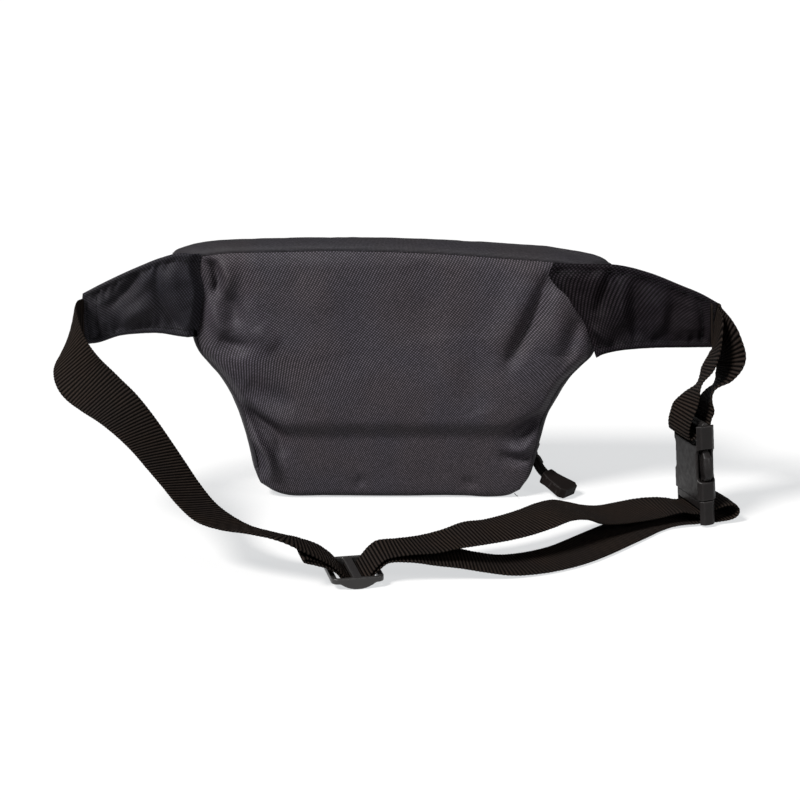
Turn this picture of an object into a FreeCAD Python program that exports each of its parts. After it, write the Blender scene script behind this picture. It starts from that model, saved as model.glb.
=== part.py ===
import FreeCAD, Part
import math
import os

# Waist pack with two zipped compartments, belt wings, an adjustable webbing belt, a three-bar
# slider and a side-release buckle. Millimetres.
# Frame: +Z up, +X along the belt, +Y from the wearer's side to the pack's front.
# Origin: middle of the bottom panel, on the surface that the pack stands on.

Vec = FreeCAD.Vector

# ---- fabric and padding ----
CLOTH = 1.0
THIN_CLOTH = 0.5
GAP = 0.3
BACK_FOAM = 3.0
WING_FOAM = 3.8

# ---- pack body: half profiles, (x, z) from the bottom edge up to the crown ----
Y_BACK = -38.0
Y_ZIP_BACK = -12.0
Y_ZIP_FRONT = 0.0
FRONT_Y_BOTTOM = 30.0
FRONT_Y_TOP = 8.0
FRONT_Z_TOP = 144.0
CORNER_Z = 18.0
BACK_PROFILE = [(71, 0), (82, 13), (91, 46), (111, 93), (117, 146), (109, 152)]
ZIP_PROFILE = [(68, 0), (76, 13), (89, 50), (115, 94), (134, 142), (122, 153)]
FRONT_PROFILE = [(62, 0), (73, 13), (84, 46), (105, 90), (118, 134), (108, 144)]

# ---- front pocket ----
POCKET_DEPTH = 13.0
POCKET_BASE = [(54, 2.5), (66, 14), (92, 82), (88, 100)]
POCKET_FACE = [(50, 5), (60, 15), (84, 76), (80, 88)]
POCKET_ZIP_HALF = 74.0

# ---- belt wings, (u, z) with u measured outwards from the wing's root ----
WING_ROOT = (112.0, -41.4)
WING_YAW = 8.0
WING_LENGTH = 74.0
WING_OUTLINE = [(0, 91), (WING_LENGTH, 97), (WING_LENGTH, 130), (36, 142), (0, 148)]
WEBBING_TUCK = 15.0

# ---- webbing ----
WEB_WIDTH = 30.0
WEB = 1.4

# ---- zips ----
COIL_WIDTH = 5.0
COIL_HEIGHT = 1.6
TAPE = 0.6
SLIDER_LENGTH = 10.0
SLIDER_WIDTH = 9.0
SLIDER_SHIELD = 1.1
MAIN_SLIDER_Z = 25.0
POCKET_SLIDER_X = 62.0
PULL_LENGTH = 10.0
PULL_HANGS_TO = (86.6, -6, 12.4)
CORD_DIAMETER = 3.0
GRIP_LENGTH = 20.0
POCKET_PULL_REST = 6.0

# ---- three-bar slider ----
GLIDE_AT = Vec(-25.5, -176.5, 5.0)
GLIDE_YAW = 12.0
GLIDE_LENGTH = 28.4
GLIDE_HALF_WIDTH = 18.0
GLIDE_BAR = 4.8
GLIDE_BAR_THICK = 2.4
GLIDE_RAIL = 3.0
GLIDE_THICK = 3.0
CHEEK_DROP = 3.4

# ---- side-release buckle, modelled upright: x across, y through, z from the male end up ----
BUCKLE_AT = Vec(174.5, -75.5, 1.2)
BUCKLE_YAW = -75.0
BUCKLE_LEAN = -4.0
BUCKLE_HALF_WIDTH = 18.5
BUCKLE_THICK = 11.0
MALE_BAR_Z = 3.6
MALE_BAR_RADIUS = 2.0
MALE_TOP = 14.5
MOUTH = (15.0, 26.0)
WINDOW_TOP = 46.0
BUCKLE_LENGTH = 62.0
SLOT_HALF = 15.8
END_BAR = 4.5
PLATE = 1.8
ARM_HINGE_X = 12.6
ARM_HINGE_Z = 16.0


# ================= small helpers =================

def offset_profile(profile, inset):
    """The half profile moved inwards by inset all round."""
    full = profile + [(-x, z) for x, z in reversed(profile)]
    moved = []
    for i, (x, z) in enumerate(full):
        before, after = full[i - 1], full[(i + 1) % len(full)]
        lines = []
        for (ax, az), (bx, bz) in ((before, (x, z)), ((x, z), after)):
            length = math.hypot(bx - ax, bz - az)
            nx, nz = -(bz - az) / length, (bx - ax) / length
            lines.append((nx, nz, nx * ax + nz * az + inset))
        (a, b, c), (d, e, f) = lines
        det = a * e - b * d
        moved.append(((c * e - b * f) / det, (a * f - c * d) / det))
    return moved[: len(profile)]


def polygon(profile, place):
    """Closed wire of the mirrored half profile, with place giving each (x, z) its y."""
    full = profile + [(-x, z) for x, z in reversed(profile)]
    points = [Vec(x, place(z), z) for x, z in full]
    return Part.makePolygon(points + points[:1])


def level(y):
    return lambda z: y


def front_y(z):
    """The slanted front panel's inner face."""
    return FRONT_Y_BOTTOM + (FRONT_Y_TOP - FRONT_Y_BOTTOM) * z / FRONT_Z_TOP


def front_offset(distance):
    return lambda z: front_y(z) + distance


def loft(*wires):
    return Part.makeLoft(list(wires), True, True)


def plate(profile, place, thickness):
    return Part.Face(polygon(profile, place)).extrude(Vec(0, thickness, 0))


def box(x0, x1, y0, y1, z0, z1):
    return Part.makeBox(x1 - x0, y1 - y0, z1 - z0, Vec(x0, y0, z0))


def prism(points, direction):
    return Part.Face(Part.makePolygon(points + points[:1])).extrude(direction)


def upright_edges(shape):
    return [e for e in shape.Edges if abs(e.Vertexes[0].Z - e.Vertexes[-1].Z) > 0.5]


def placed(shape, at, rotation):
    moved = shape.copy()
    moved.Placement = FreeCAD.Placement(at, rotation)
    return moved


def save(name, *shapes):
    shape = shapes[0] if len(shapes) == 1 else Part.makeCompound(list(shapes))
    if not shape.isValid():
        print("INVALID", name)
    shape.exportStep("parts/" + name + ".step")


def mirrored(shape):
    return shape.mirror(Vec(0, 0, 0), Vec(1, 0, 0))


# ================= pack body =================

def body_solid(inset, y_start):
    """Everything inside the gusset's surface, inset all round, from y_start to the front plane."""
    back, middle, front = (offset_profile(p, inset) for p in (BACK_PROFILE, ZIP_PROFILE, FRONT_PROFILE))
    return Part.makeSolid(loft(
        polygon(back, level(y_start)),
        polygon(middle, level(Y_ZIP_BACK)),
        polygon(middle, level(Y_ZIP_FRONT)),
        polygon(front, front_offset(0)),
    ).Shells[0])


def back_part(y, inset):
    """The half profile between the back panel and the zip, at depth y and moved inwards."""
    share = (y - Y_BACK - CLOTH) / (Y_ZIP_BACK - Y_BACK - CLOTH)
    pairs = zip(offset_profile(BACK_PROFILE, inset), offset_profile(ZIP_PROFILE, inset))
    return [(a + (c - a) * share, b + (d - b) * share) for (a, b), (c, d) in pairs]


def gusset_wall(outer_inset, thickness):
    """The gusset as an open tube from the back panel to the front panel."""
    y_start = Y_BACK + CLOTH
    return body_solid(outer_inset, y_start).cut(body_solid(outer_inset + thickness, y_start))


def build_body():
    big = 200
    save("back_panel", plate(BACK_PROFILE, level(Y_BACK), CLOTH))
    foam = offset_profile(BACK_PROFILE, 4.0)
    foam_y = Y_BACK + CLOTH + THIN_CLOTH
    save("back_foam", plate(foam, level(foam_y), BACK_FOAM))

    wall = gusset_wall(0, CLOTH)
    upper = CORNER_Z + GAP
    save("gusset_back_strip", wall.common(box(-big, big, -big, Y_ZIP_BACK - GAP, upper, big)))
    save("gusset_front_strip", wall.common(box(-big, big, Y_ZIP_FRONT + GAP, big, upper, big)))
    save("bottom_panel", wall.common(box(-big, big, -big, big, -1, CORNER_Z)))
    save("front_panel", plate(FRONT_PROFILE, front_offset(0), CLOTH))

    tape = gusset_wall(0.2, TAPE)
    save("main_zipper_tape", tape.common(box(-big, big, Y_ZIP_BACK, Y_ZIP_FRONT, upper, big)))
    middle = (Y_ZIP_BACK + Y_ZIP_FRONT) / 2
    coil_box = box(-big, big, middle - COIL_WIDTH / 2, middle + COIL_WIDTH / 2, upper + 3, big)
    raised = Part.makeSolid(loft(
        polygon(offset_profile(ZIP_PROFILE, -COIL_HEIGHT), level(Y_ZIP_BACK)),
        polygon(offset_profile(ZIP_PROFILE, -COIL_HEIGHT), level(Y_ZIP_FRONT)),
    ).Shells[0])
    save("main_zipper_coil", raised.cut(body_solid(0.2, Y_BACK)).common(coil_box))
    build_lining()


def build_lining():
    """Thin inner bag, open along the zip."""
    inset = 1.6
    y_start = Y_BACK + CLOTH + 2 * THIN_CLOTH + BACK_FOAM
    cavity_front = front_offset(-GAP)
    shells = []
    for extra in (0.0, THIN_CLOTH):
        middle, front = (offset_profile(p, inset + extra) for p in (ZIP_PROFILE, FRONT_PROFILE))
        shells.append(Part.makeSolid(loft(
            polygon(back_part(y_start + extra, inset + extra), level(y_start + extra)),
            polygon(middle, level(Y_ZIP_BACK)),
            polygon(middle, level(Y_ZIP_FRONT)),
            polygon(front, lambda z, e=extra: cavity_front(z) - e),
        ).Shells[0]))
    middle_y = (Y_ZIP_BACK + Y_ZIP_FRONT) / 2
    slit = box(-200, 200, middle_y - 3, middle_y + 3, CORNER_Z + 2, 200)
    save("lining", shells[0].cut(shells[1]).cut(slit))


def build_bindings():
    """Tape folded over the seam allowances inside the pack."""
    band, depth = 1.2, 7.0
    for name, profile, inset, place in (
        ("back_seam_binding", BACK_PROFILE, 6.0, level(Y_BACK + CLOTH + 2 * THIN_CLOTH + BACK_FOAM + 2)),
        ("front_seam_binding", FRONT_PROFILE, 4.2, front_offset(-depth - 2)),
    ):
        outer, inner = offset_profile(profile, inset), offset_profile(profile, inset + band)
        ring = plate(outer, place, depth).cut(plate(inner, place, depth))
        save(name, ring)


# ================= front pocket =================

def build_pocket():
    outer = loft(
        polygon(POCKET_BASE, front_offset(CLOTH)),
        polygon(POCKET_FACE, front_offset(POCKET_DEPTH)),
    )
    inner = loft(
        polygon(offset_profile(POCKET_BASE, CLOTH), front_offset(CLOTH)),
        polygon(offset_profile(POCKET_FACE, CLOTH), front_offset(POCKET_DEPTH)),
    )
    ring = Part.makeSolid(outer.Shells[0]).cut(Part.makeSolid(inner.Shells[0]))
    half = POCKET_ZIP_HALF
    save("pocket_gusset", ring.cut(box(-half - GAP, half + GAP, -50, 100, 80, 120)))
    save("pocket_zipper_tape", ring.common(box(-half, half, -50, 100, 80, 120)))
    save("pocket_panel", plate(POCKET_FACE, front_offset(POCKET_DEPTH), CLOTH))
    at, along, out = pocket_zip_frame()
    strip = box(-half + 2, half - 2, -COIL_WIDTH / 2, COIL_WIDTH / 2, 0.05, COIL_HEIGHT)
    save("pocket_zipper_coil", placed(strip, at, axes(Vec(1, 0, 0), along, out)))
    stops = []
    for x in (-half + 4, half - 4):
        stop = box(x - 1.2, x + 1.2, -3.6, 3.6, COIL_HEIGHT + 0.05, COIL_HEIGHT + 0.9)
        stops.append(placed(stop, at, axes(Vec(1, 0, 0), along, out)))
    save("pocket_zipper_stops", *stops)


def axes(x_dir, y_dir, z_dir):
    """Rotation that carries the local axes to these three directions."""
    m = FreeCAD.Matrix(
        x_dir.x, y_dir.x, z_dir.x, 0,
        x_dir.y, y_dir.y, z_dir.y, 0,
        x_dir.z, y_dir.z, z_dir.z, 0,
        0, 0, 0, 1,
    )
    return FreeCAD.Rotation(m)


def pocket_zip_frame():
    """Middle of the pocket's sloping top facet, its downhill direction reversed, and its normal."""
    z_high, z_low = POCKET_BASE[-1][1], POCKET_FACE[-1][1]
    high = Vec(0, front_y(z_high) + CLOTH, z_high)
    low = Vec(0, front_y(z_low) + POCKET_DEPTH, z_low)
    uphill = (high - low).normalize()
    normal = Vec(1, 0, 0).cross(uphill)
    if normal.z < 0:
        normal = -normal
        uphill = -uphill
    along = normal.cross(Vec(1, 0, 0))
    return (high + low) * 0.5, along, normal


def main_zip_frame(z):
    """A point on the right side facet of the zip, the uphill direction and the outward normal."""
    (x0, z0), (x1, z1) = ZIP_PROFILE[1], ZIP_PROFILE[2]
    up = Vec(x1 - x0, 0, z1 - z0).normalize()
    out = Vec(up.z, 0, -up.x)
    x = x0 + (x1 - x0) * (z - z0) / (z1 - z0)
    return Vec(x, (Y_ZIP_BACK + Y_ZIP_FRONT) / 2, z), up, out


# ================= zip sliders and pulls =================

def slider_body():
    """Zip slider, local x along the zip, z out of the cloth; the coil runs under the top shield."""
    half_l, half_w = SLIDER_LENGTH / 2, SLIDER_WIDTH / 2
    low = COIL_HEIGHT + 0.25
    top = box(-half_l, half_l, -half_w, half_w, low, low + SLIDER_SHIELD)
    top = top.makeFillet(1.6, upright_edges(top))
    flanges = [
        box(-half_l + 1.5, half_l - 1.5, min(side * half_w, side * (half_w - 1)),
            max(side * half_w, side * (half_w - 1)), 0.9, low + 0.2)
        for side in (1, -1)
    ]
    arch_outer = box(-2.6, 2.6, -1.3, 1.3, low + SLIDER_SHIELD - 0.1, low + SLIDER_SHIELD + 3.2)
    arch_inner = box(-1.5, 1.5, -2, 2, low + SLIDER_SHIELD + 0.2, low + SLIDER_SHIELD + 2.1)
    return top.fuse(flanges + [arch_outer.cut(arch_inner)]).removeSplitter()


def pull_eye_height():
    return COIL_HEIGHT + 0.25 + SLIDER_SHIELD + 1.15


def pull_tab():
    """Metal tab on the slider's arch: local x runs from its hinge bar to its free end."""
    length, half_w, thick = PULL_LENGTH, 3.0, 1.2
    tab = box(0, length, -half_w, half_w, -thick / 2, thick / 2)
    tab = tab.makeFillet(0.5, upright_edges(tab))
    tab = tab.fuse(Part.makeCylinder(thick / 2, 2 * half_w, Vec(0, -half_w, 0), Vec(0, 1, 0)))
    eye = box(0.6, 3.6, -1.7, 1.7, -2, 2)
    hole = box(length - 4.2, length - 1.0, -1.9, 1.9, -2, 2)
    return tab.cut(eye).cut(hole)


def cord_tube(points, diameter):
    """Straight runs joined by tangent arcs, as large as the runs allow."""
    edges, start, radii = [], points[0], []
    for before, corner, after in zip(points, points[1:], points[2:]):
        into, out = (corner - before), (after - corner)
        short = min(into.Length, out.Length)
        turn = into.getAngle(out)
        radius = 0.45 * short / math.tan(turn / 2)
        radii.append(round(radius, 1))
        into.normalize()
        out.normalize()
        cut = 0.45 * short
        first, last = corner - into * cut, corner + out * cut
        bisector = (out - into).normalize()
        middle = corner + bisector * (radius / math.cos(turn / 2) - radius)
        edges.append(Part.LineSegment(start, first).toShape())
        edges.append(Part.Arc(first, middle, last).toShape())
        start = last
    edges.append(Part.LineSegment(start, points[-1]).toShape())
    path = Part.Wire(edges)
    ring = Part.Wire(Part.makeCircle(diameter / 2, points[0], points[1] - points[0]))
    tube = path.makePipeShell([ring], True, True)
    ratio = tube.Volume / (math.pi * diameter ** 2 / 4 * path.Length)
    print("cord radii", radii, "length", round(path.Length, 1), "volume ratio", round(ratio, 3))
    return tube


def grip(length):
    """Moulded end of a zip pull: local x from the cord outwards, flaring to a blunt end."""
    half, thick = 3.0, 5.0
    outline = [
        Vec(0, -half, -thick / 2), Vec(6, -5.0, -thick / 2), Vec(length - 3, -6.4, -thick / 2),
        Vec(length, -4.6, -thick / 2), Vec(length, 4.6, -thick / 2), Vec(length - 3, 6.4, -thick / 2),
        Vec(6, 5.0, -thick / 2), Vec(0, half, -thick / 2),
    ]
    return prism(outline, Vec(0, 0, thick))


# The pull cord, from just past the tab's hole to its seat in the grip.
MAIN_CORD = [
    Vec(86.6, -8.6, 8.4), Vec(86.4, -14.5, 5.0), Vec(86.8, -21, 7.2), Vec(88.6, -26, 11.2),
    Vec(94.4, -30.6, 8.4),
]


def build_main_pull():
    at, up, out = main_zip_frame(MAIN_SLIDER_Z)
    rotation = axes(up, out.cross(up), out)
    save("main_slider", placed(slider_body(), at, rotation))
    hinge = at + out * pull_eye_height()
    hang = (Vec(*PULL_HANGS_TO) - hinge).normalize()
    side = Vec(0, 1, 0)
    save("main_puller", placed(pull_tab(), hinge, axes(hang, side, hang.cross(side))))
    print("main hinge", hinge, "up", up, "out", out, "hang", hang)
    cord = [hinge + hang * (PULL_LENGTH + CORD_DIAMETER / 2 + 0.1)] + MAIN_CORD
    tube = cord_tube(cord, CORD_DIAMETER)
    save("main_pull_cord", tube)
    print("main cord starts", cord[0])
    direction = (cord[-1] - cord[-2]).normalize()
    across = Vec(0, 0, 1).cross(direction).normalize()
    seat = Part.makeCylinder(CORD_DIAMETER / 2 + 0.02, 8.6, Vec(-1, 0, 0), Vec(1, 0, 0))
    end = grip(GRIP_LENGTH).cut(seat)
    at = cord[-1] - direction * 7.5
    save("main_pull_grip", placed(end, at, axes(direction, across, direction.cross(across))))


def build_pocket_pull():
    at, along, normal = pocket_zip_frame()
    at = at + Vec(POCKET_SLIDER_X, 0, 0)
    rotation = axes(Vec(1, 0, 0), along, normal)
    save("pocket_slider", placed(slider_body(), at, rotation))
    hinge = at + normal * pull_eye_height()
    flat = FreeCAD.Rotation(along, POCKET_PULL_REST).multVec(Vec(-1, 0, 0))
    tab = pull_tab().fuse(grip(16).translated(Vec(11.5, 0, 0)).cut(box(0, 13.1, -9, 9, -0.61, 0.61)))
    save("pocket_puller", placed(tab.removeSplitter(), hinge, axes(flat, along, flat.cross(along))))
    print("pocket hinge", hinge, "along", along, "flat", flat)


def build_stops():
    """Metal crimps at the ends of the main zip's coil, on both side facets."""
    at, up, out = main_zip_frame(CORNER_Z + 2.2)
    stop = box(-1.0, 1.0, -3.6, 3.6, 0.05, 1.6)
    right = placed(stop, at, axes(up, out.cross(up), out))
    save("main_zipper_stops", right, mirrored(right))


# ================= belt wings =================

def wing_layer(outline, near, far):
    """A layer of the right wing between two depths either side of its middle plane."""
    points = [Vec(u, near, z) for u, z in outline]
    layer = prism(points, Vec(0, far - near, 0))
    return placed(layer, Vec(WING_ROOT[0], WING_ROOT[1], 0), FreeCAD.Rotation(Vec(0, 0, 1), -WING_YAW))


def build_wings():
    half = WING_FOAM / 2
    foam_end = WING_LENGTH - WEBBING_TUCK - 1
    foam_outline = [(2, 93.5), (foam_end, 98), (foam_end, 131.5), (36, 139.5), (2, 145)]
    layers = {
        "wing_back": wing_layer(WING_OUTLINE, -half - 0.8, -half),
        "wing_front": wing_layer(WING_OUTLINE, half, half + 0.8),
        "wing_foam": wing_layer(foam_outline, -half + 0.1, half - 0.1),
        "wing_tip_stitches": Part.makeCompound([
            wing_layer([(u, 99), (u + 1.2, 99), (u + 1.2, 128), (u, 128)], -half - 1.2, -half - 0.85)
            for u in (WING_LENGTH - 4, WING_LENGTH - 11)
        ]),
    }
    for name, right in layers.items():
        save("right_" + name, right)
        save("left_" + name, mirrored(right))


# ================= webbing =================

def ribbon(rows, width=WEB_WIDTH, thickness=WEB):
    """Flat band through rows of (centre, direction across the band), with planar facets."""
    rings = []
    for i, (centre, across) in enumerate(rows):
        ahead = rows[min(i + 1, len(rows) - 1)][0]
        behind = rows[max(i - 1, 0)][0]
        tangent = (ahead - behind).normalize()
        side = (across - tangent * across.dot(tangent)).normalize()
        normal = tangent.cross(side)
        half_w, half_t = side * (width / 2), normal * (thickness / 2)
        rings.append([
            centre - half_w - half_t, centre + half_w - half_t,
            centre + half_w + half_t, centre - half_w + half_t,
        ])
    facets = [rings[0], rings[-1]]
    for near, far in zip(rings, rings[1:]):
        for k in range(4):
            a, b, c, d = near[k], near[(k + 1) % 4], far[(k + 1) % 4], far[k]
            facets += [[a, b, c], [a, c, d]]
    faces = [Part.Face(Part.makePolygon(points + points[:1])) for points in facets]
    solid = Part.makeSolid(Part.makeShell(faces))
    return solid if solid.Volume > 0 else solid.reversed()


def stations(rows):
    return [(Vec(*centre), Vec(*across)) for centre, across in rows]


def wing_point(u, z, offset, side):
    """A point in a wing: u outwards, z up, offset from the middle plane away from the wearer."""
    yaw = math.radians(-WING_YAW)
    x = WING_ROOT[0] + u * math.cos(yaw) - offset * math.sin(yaw)
    y = WING_ROOT[1] + u * math.sin(yaw) + offset * math.cos(yaw)
    return Vec(side * x, y, z)


def glide_point(x, z, y=0.0):
    """A point in the three-bar slider's frame: x along the belt, z above its middle plane."""
    yaw = math.radians(GLIDE_YAW)
    return GLIDE_AT + Vec(x * math.cos(yaw) - y * math.sin(yaw), x * math.sin(yaw) + y * math.cos(yaw), z)


GLIDE_ACROSS = Vec(math.sin(math.radians(GLIDE_YAW)), -math.cos(math.radians(GLIDE_YAW)), 0)


def buckle_rotation():
    lean = FreeCAD.Rotation(Vec(0, 1, 0), BUCKLE_LEAN)
    return lean.multiply(FreeCAD.Rotation(Vec(0, 0, 1), BUCKLE_YAW))


def buckle_point(x, y, z):
    return BUCKLE_AT + buckle_rotation().multVec(Vec(x, y, z))


# Belt from the left wing's tip to the three-bar slider: (centre, across the band).
LEFT_STRAP = [
    ((-189.4, -64.1, 113.2), (0.22, -0.26, 0.94)),
    ((-189.7, -76.5, 107.9), (0.48, -0.37, 0.80)),
    ((-187.5, -88.2, 100.7), (0.70, -0.21, 0.69)),
    ((-180.8, -97.3, 92.0), (0.75, 0.16, 0.64)),
    ((-170.2, -104.2, 84.5), (0.68, 0.52, 0.52)),
    ((-158.7, -110.7, 77.2), (0.65, 0.68, 0.34)),
    ((-148.1, -117.4, 68.6), (0.64, 0.75, 0.14)),
    ((-138.3, -124.8, 59.4), (0.63, 0.78, -0.02)),
    ((-129.2, -133.2, 50.2), (0.62, 0.77, -0.12)),
    ((-120.2, -142.3, 41.4), (0.61, 0.77, -0.20)),
    ((-111.0, -151.9, 33.6), (0.61, 0.77, -0.21)),
    ((-100.3, -161.7, 28.3), (0.59, 0.79, -0.17)),
    ((-87.9, -170.7, 26.3), (0.51, 0.83, -0.23)),
    ((-74.1, -178.1, 26.2), (0.39, 0.87, -0.28)),
    ((-61.5, -182.0, 24.6), (0.18, 0.95, -0.26)),
    ((-51.0, -181.8, 20.4), (-0.05, 0.98, -0.12)),
]
# Belt's outer run, from the slider up and along to the buckle.
OUTER_RUN = [
    ((1.2, -171.2, 15.8), (-0.28, 0.96, -0.03)),
    ((14.8, -167.6, 15.9), (-0.30, 0.95, 0)),
    ((27.5, -163.2, 17.4), (-0.33, 0.94, 0.02)),
    ((40.0, -158.6, 19.2), (-0.38, 0.92, 0.11)),
    ((52.3, -153.3, 19.4), (-0.44, 0.89, 0.09)),
    ((64.0, -146.9, 20.2), (-0.52, 0.85, 0.09)),
    ((75.2, -139.5, 21.4), (-0.59, 0.80, 0.08)),
    ((85.5, -131.2, 22.5), (-0.64, 0.77, 0.08)),
    ((95.5, -122.6, 20.9), (-0.63, 0.76, 0.14)),
    ((104.7, -114.2, 16.1), (-0.61, 0.77, 0.18)),
    ((114.0, -105.8, 12.2), (-0.62, 0.77, 0.13)),
    ((124.0, -97.3, 9.6), (-0.60, 0.79, 0.08)),
    ((135.0, -89.4, 8.7), (-0.53, 0.84, 0.09)),
    ((146.7, -82.8, 8.8), (-0.40, 0.91, 0.08)),
]
# Belt's inner run, from the slider low along the ground to the buckle.
INNER_RUN = [
    ((3.0, -171.4, 12.2), (-0.25, 0.96, -0.02)),
    ((16.7, -169.3, 10.4), (-0.20, 0.98, 0.02)),
    ((30.4, -167.6, 8.6), (-0.14, 0.99, 0.04)),
    ((43.8, -166.2, 5.6), (-0.15, 0.99, 0.03)),
    ((57.2, -164.0, 3.0), (-0.22, 0.98, 0.04)),
    ((70.6, -159.6, 2.2), (-0.34, 0.94, 0.05)),
    ((83.3, -152.8, 2.0), (-0.48, 0.87, 0.05)),
    ((94.3, -144.4, 2.0), (-0.58, 0.81, 0.05)),
    ((103.8, -134.8, 2.2), (-0.64, 0.76, 0.06)),
    ((112.8, -124.6, 2.4), (-0.68, 0.73, 0.06)),
    ((121.8, -113.6, 2.4), (-0.68, 0.73, 0.05)),
    ((130.4, -103.0, 2.2), (-0.64, 0.77, 0.04)),
    ((139.0, -92.5, 2.2), (-0.56, 0.82, 0.04)),
    ((148.4, -84.2, 2.0), (-0.42, 0.90, 0.02)),
]
# The two layers of the short strap between the right wing and the female half.
NEAR_STRAP = [
    ((185.5, -57.5, 110.5), (0.12, 0.30, 0.95)),
    ((185.0, -61.5, 104.0), (0.30, 0.62, 0.72)),
    ((182.5, -64.0, 97.0), (0.40, 0.82, 0.40)),
    ((178.5, -66.0, 88.5), (0.25, 0.96, 0.05)),
    ((173.8, -68.5, 81.0), (0.05, 0.98, -0.18)),
    ((168.3, -72.0, 74.5), (-0.18, 0.97, -0.10)),
]
FAR_STRAP = [
    ((189.5, -54.5, 110.5), (0.20, 0.15, 0.97)),
    ((191.0, -57.5, 104.5), (0.42, 0.40, 0.82)),
    ((192.3, -60.5, 97.0), (0.55, 0.65, 0.52)),
    ((192.6, -63.5, 90.0), (0.60, 0.78, 0.15)),
    ((190.0, -66.5, 83.5), (0.52, 0.84, -0.15)),
    ((185.0, -69.5, 78.0), (0.30, 0.92, -0.25)),
    ((180.3, -72.3, 72.5), (0.02, 0.98, -0.18)),
]
# The belt inside the slider, (along, height): over the end bars and under the middle bar.
SLIDER_PATH = [
    (-16.7, 10.6), (-12.4, 7.4), (-9.2, 4.4), (-4.1, -1.7), (-2.3, -2.35), (2.3, -2.35),
    (4.1, -1.7), (8.8, 3.9), (12.4, 7.6), (16, 9.8),
]
TAIL_PATH = [
    (-28, 11), (-22, 9), (-15, 6.3), (-10.9, 3.4), (-5, -3.4), (-2.6, -3.95), (2.6, -3.95),
    (5, -3.4), (10.6, 3), (13.5, 5.6), (17, 7.6),
]
TAIL_HEM = [(-27.6, 12.7), (-22, 10.7), (-17, 8.8)]
# The belt around the male half's bar, (through, up) in the buckle's frame.
BUCKLE_LOOP = [
    (-14, 9.1), (-8, 7.4), (0, 6.7), (8, 8.6), (14, 9.3), (18.5, 8.4), (21, 5.6),
    (20.5, 2.6), (17.5, 0.5), (9, -0.1), (0, 0.5), (-8, 1.0), (-14, 1.6),
]
FEMALE_WRAP = [
    (-6.5, 66), (-4.9, 62), (-3.9, 58.6), (-3.0, 55.6), (0, 54.6),
    (3.0, 55.6), (3.9, 58.6), (4.9, 62), (6.5, 66),
]


def slider_rows(path):
    return [(glide_point(x, z), GLIDE_ACROSS) for x, z in path]


def build_left_strap():
    rows = [
        (wing_point(WING_LENGTH - WEBBING_TUCK, 113.5, 0, -1), Vec(0, 0, 1)),
        (wing_point(WING_LENGTH, 113.5, 0, -1), Vec(0, 0, 1)),
        (wing_point(WING_LENGTH + 1.2, 113.5, 0, -1), Vec(0, 0, 1)),
    ] + stations(LEFT_STRAP)
    save("left_strap", ribbon(rows + slider_rows([(-17.6, 11.3)])))


def build_slider_webbing():
    """The belt's two layers where they pass through the slider, and the hemmed tail."""
    save("belt_through_slider", ribbon(slider_rows(SLIDER_PATH)))
    save("belt_tail", ribbon(slider_rows(TAIL_PATH)))
    save("belt_tail_hem", ribbon(slider_rows(TAIL_HEM)))


def buckle_rows(path):
    across = buckle_rotation().multVec(Vec(-1, 0, 0))
    return [(buckle_point(0, y, z), across) for y, z in path]


def build_runs():
    end_outer, end_inner = buckle_rows([(-15, 9.1), (-16.4, 1.6)])
    save("belt_outer_run", ribbon(slider_rows([(16.8, 10.2)]) + stations(OUTER_RUN) + [end_outer]))
    save("belt_inner_run", ribbon(slider_rows([(17.8, 7.9)]) + stations(INNER_RUN) + [end_inner]))
    save("belt_buckle_loop", ribbon(buckle_rows(BUCKLE_LOOP)))


def build_right_strap():
    across = Vec(0, 0, 1)
    ends = buckle_rows([(-7.6, 68.4), (7.3, 68)])
    wing_cloth = wing_layer(WING_OUTLINE, -WING_FOAM / 2 - 1.3, -WING_FOAM / 2)
    layers = {}
    for name, rows, offset, end in (
        ("near", NEAR_STRAP, -0.85, ends[0]),
        ("far", FAR_STRAP, 0.85, ends[1]),
    ):
        start = [
            (wing_point(WING_LENGTH - WEBBING_TUCK, 113.5, offset, 1), across),
            (wing_point(WING_LENGTH, 113.5, offset, 1), across),
            (wing_point(WING_LENGTH + 1.2, 113.5, offset, 1), across),
        ]
        layers[name] = ribbon(start + stations(rows) + [end])
    save("right_strap_near", layers["near"])
    save("right_strap_far", layers["far"].cut(wing_cloth))
    save("right_strap_wrap", ribbon(buckle_rows(FEMALE_WRAP)))


# ================= three-bar slider =================

def build_glide():
    half_l, half_w = GLIDE_LENGTH / 2, GLIDE_HALF_WIDTH
    low, high = -GLIDE_THICK / 2, GLIDE_THICK / 2
    frame = box(-half_l, half_l, -half_w, half_w, low, high)
    frame = frame.makeFillet(4.0, upright_edges(frame))
    slot = WEB_WIDTH / 2 + 0.6
    inner = half_l - GLIDE_RAIL
    frame = frame.cut(box(-inner, inner, -slot, slot, -5, 5))
    bar_half, bar_high = GLIDE_BAR / 2, GLIDE_BAR_THICK / 2
    middle = box(-bar_half, bar_half, -slot - 0.5, slot + 0.5, -bar_high, bar_high)
    cheek = Part.Face(Part.Wire([
        Part.Arc(Vec(-half_l + 3, 0, 0), Vec(0, 0, low - CHEEK_DROP), Vec(half_l - 3, 0, 0)).toShape(),
        Part.LineSegment(Vec(half_l - 3, 0, 0), Vec(-half_l + 3, 0, 0)).toShape(),
    ])).extrude(Vec(0, half_w - slot, 0))
    cheeks = [cheek.translated(Vec(0, y, 0)) for y in (-half_w, slot)]
    frame = frame.fuse([middle] + cheeks).removeSplitter()
    save("three_bar_slider", placed(frame, GLIDE_AT, FreeCAD.Rotation(Vec(0, 0, 1), GLIDE_YAW)))


# ================= side-release buckle =================

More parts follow.
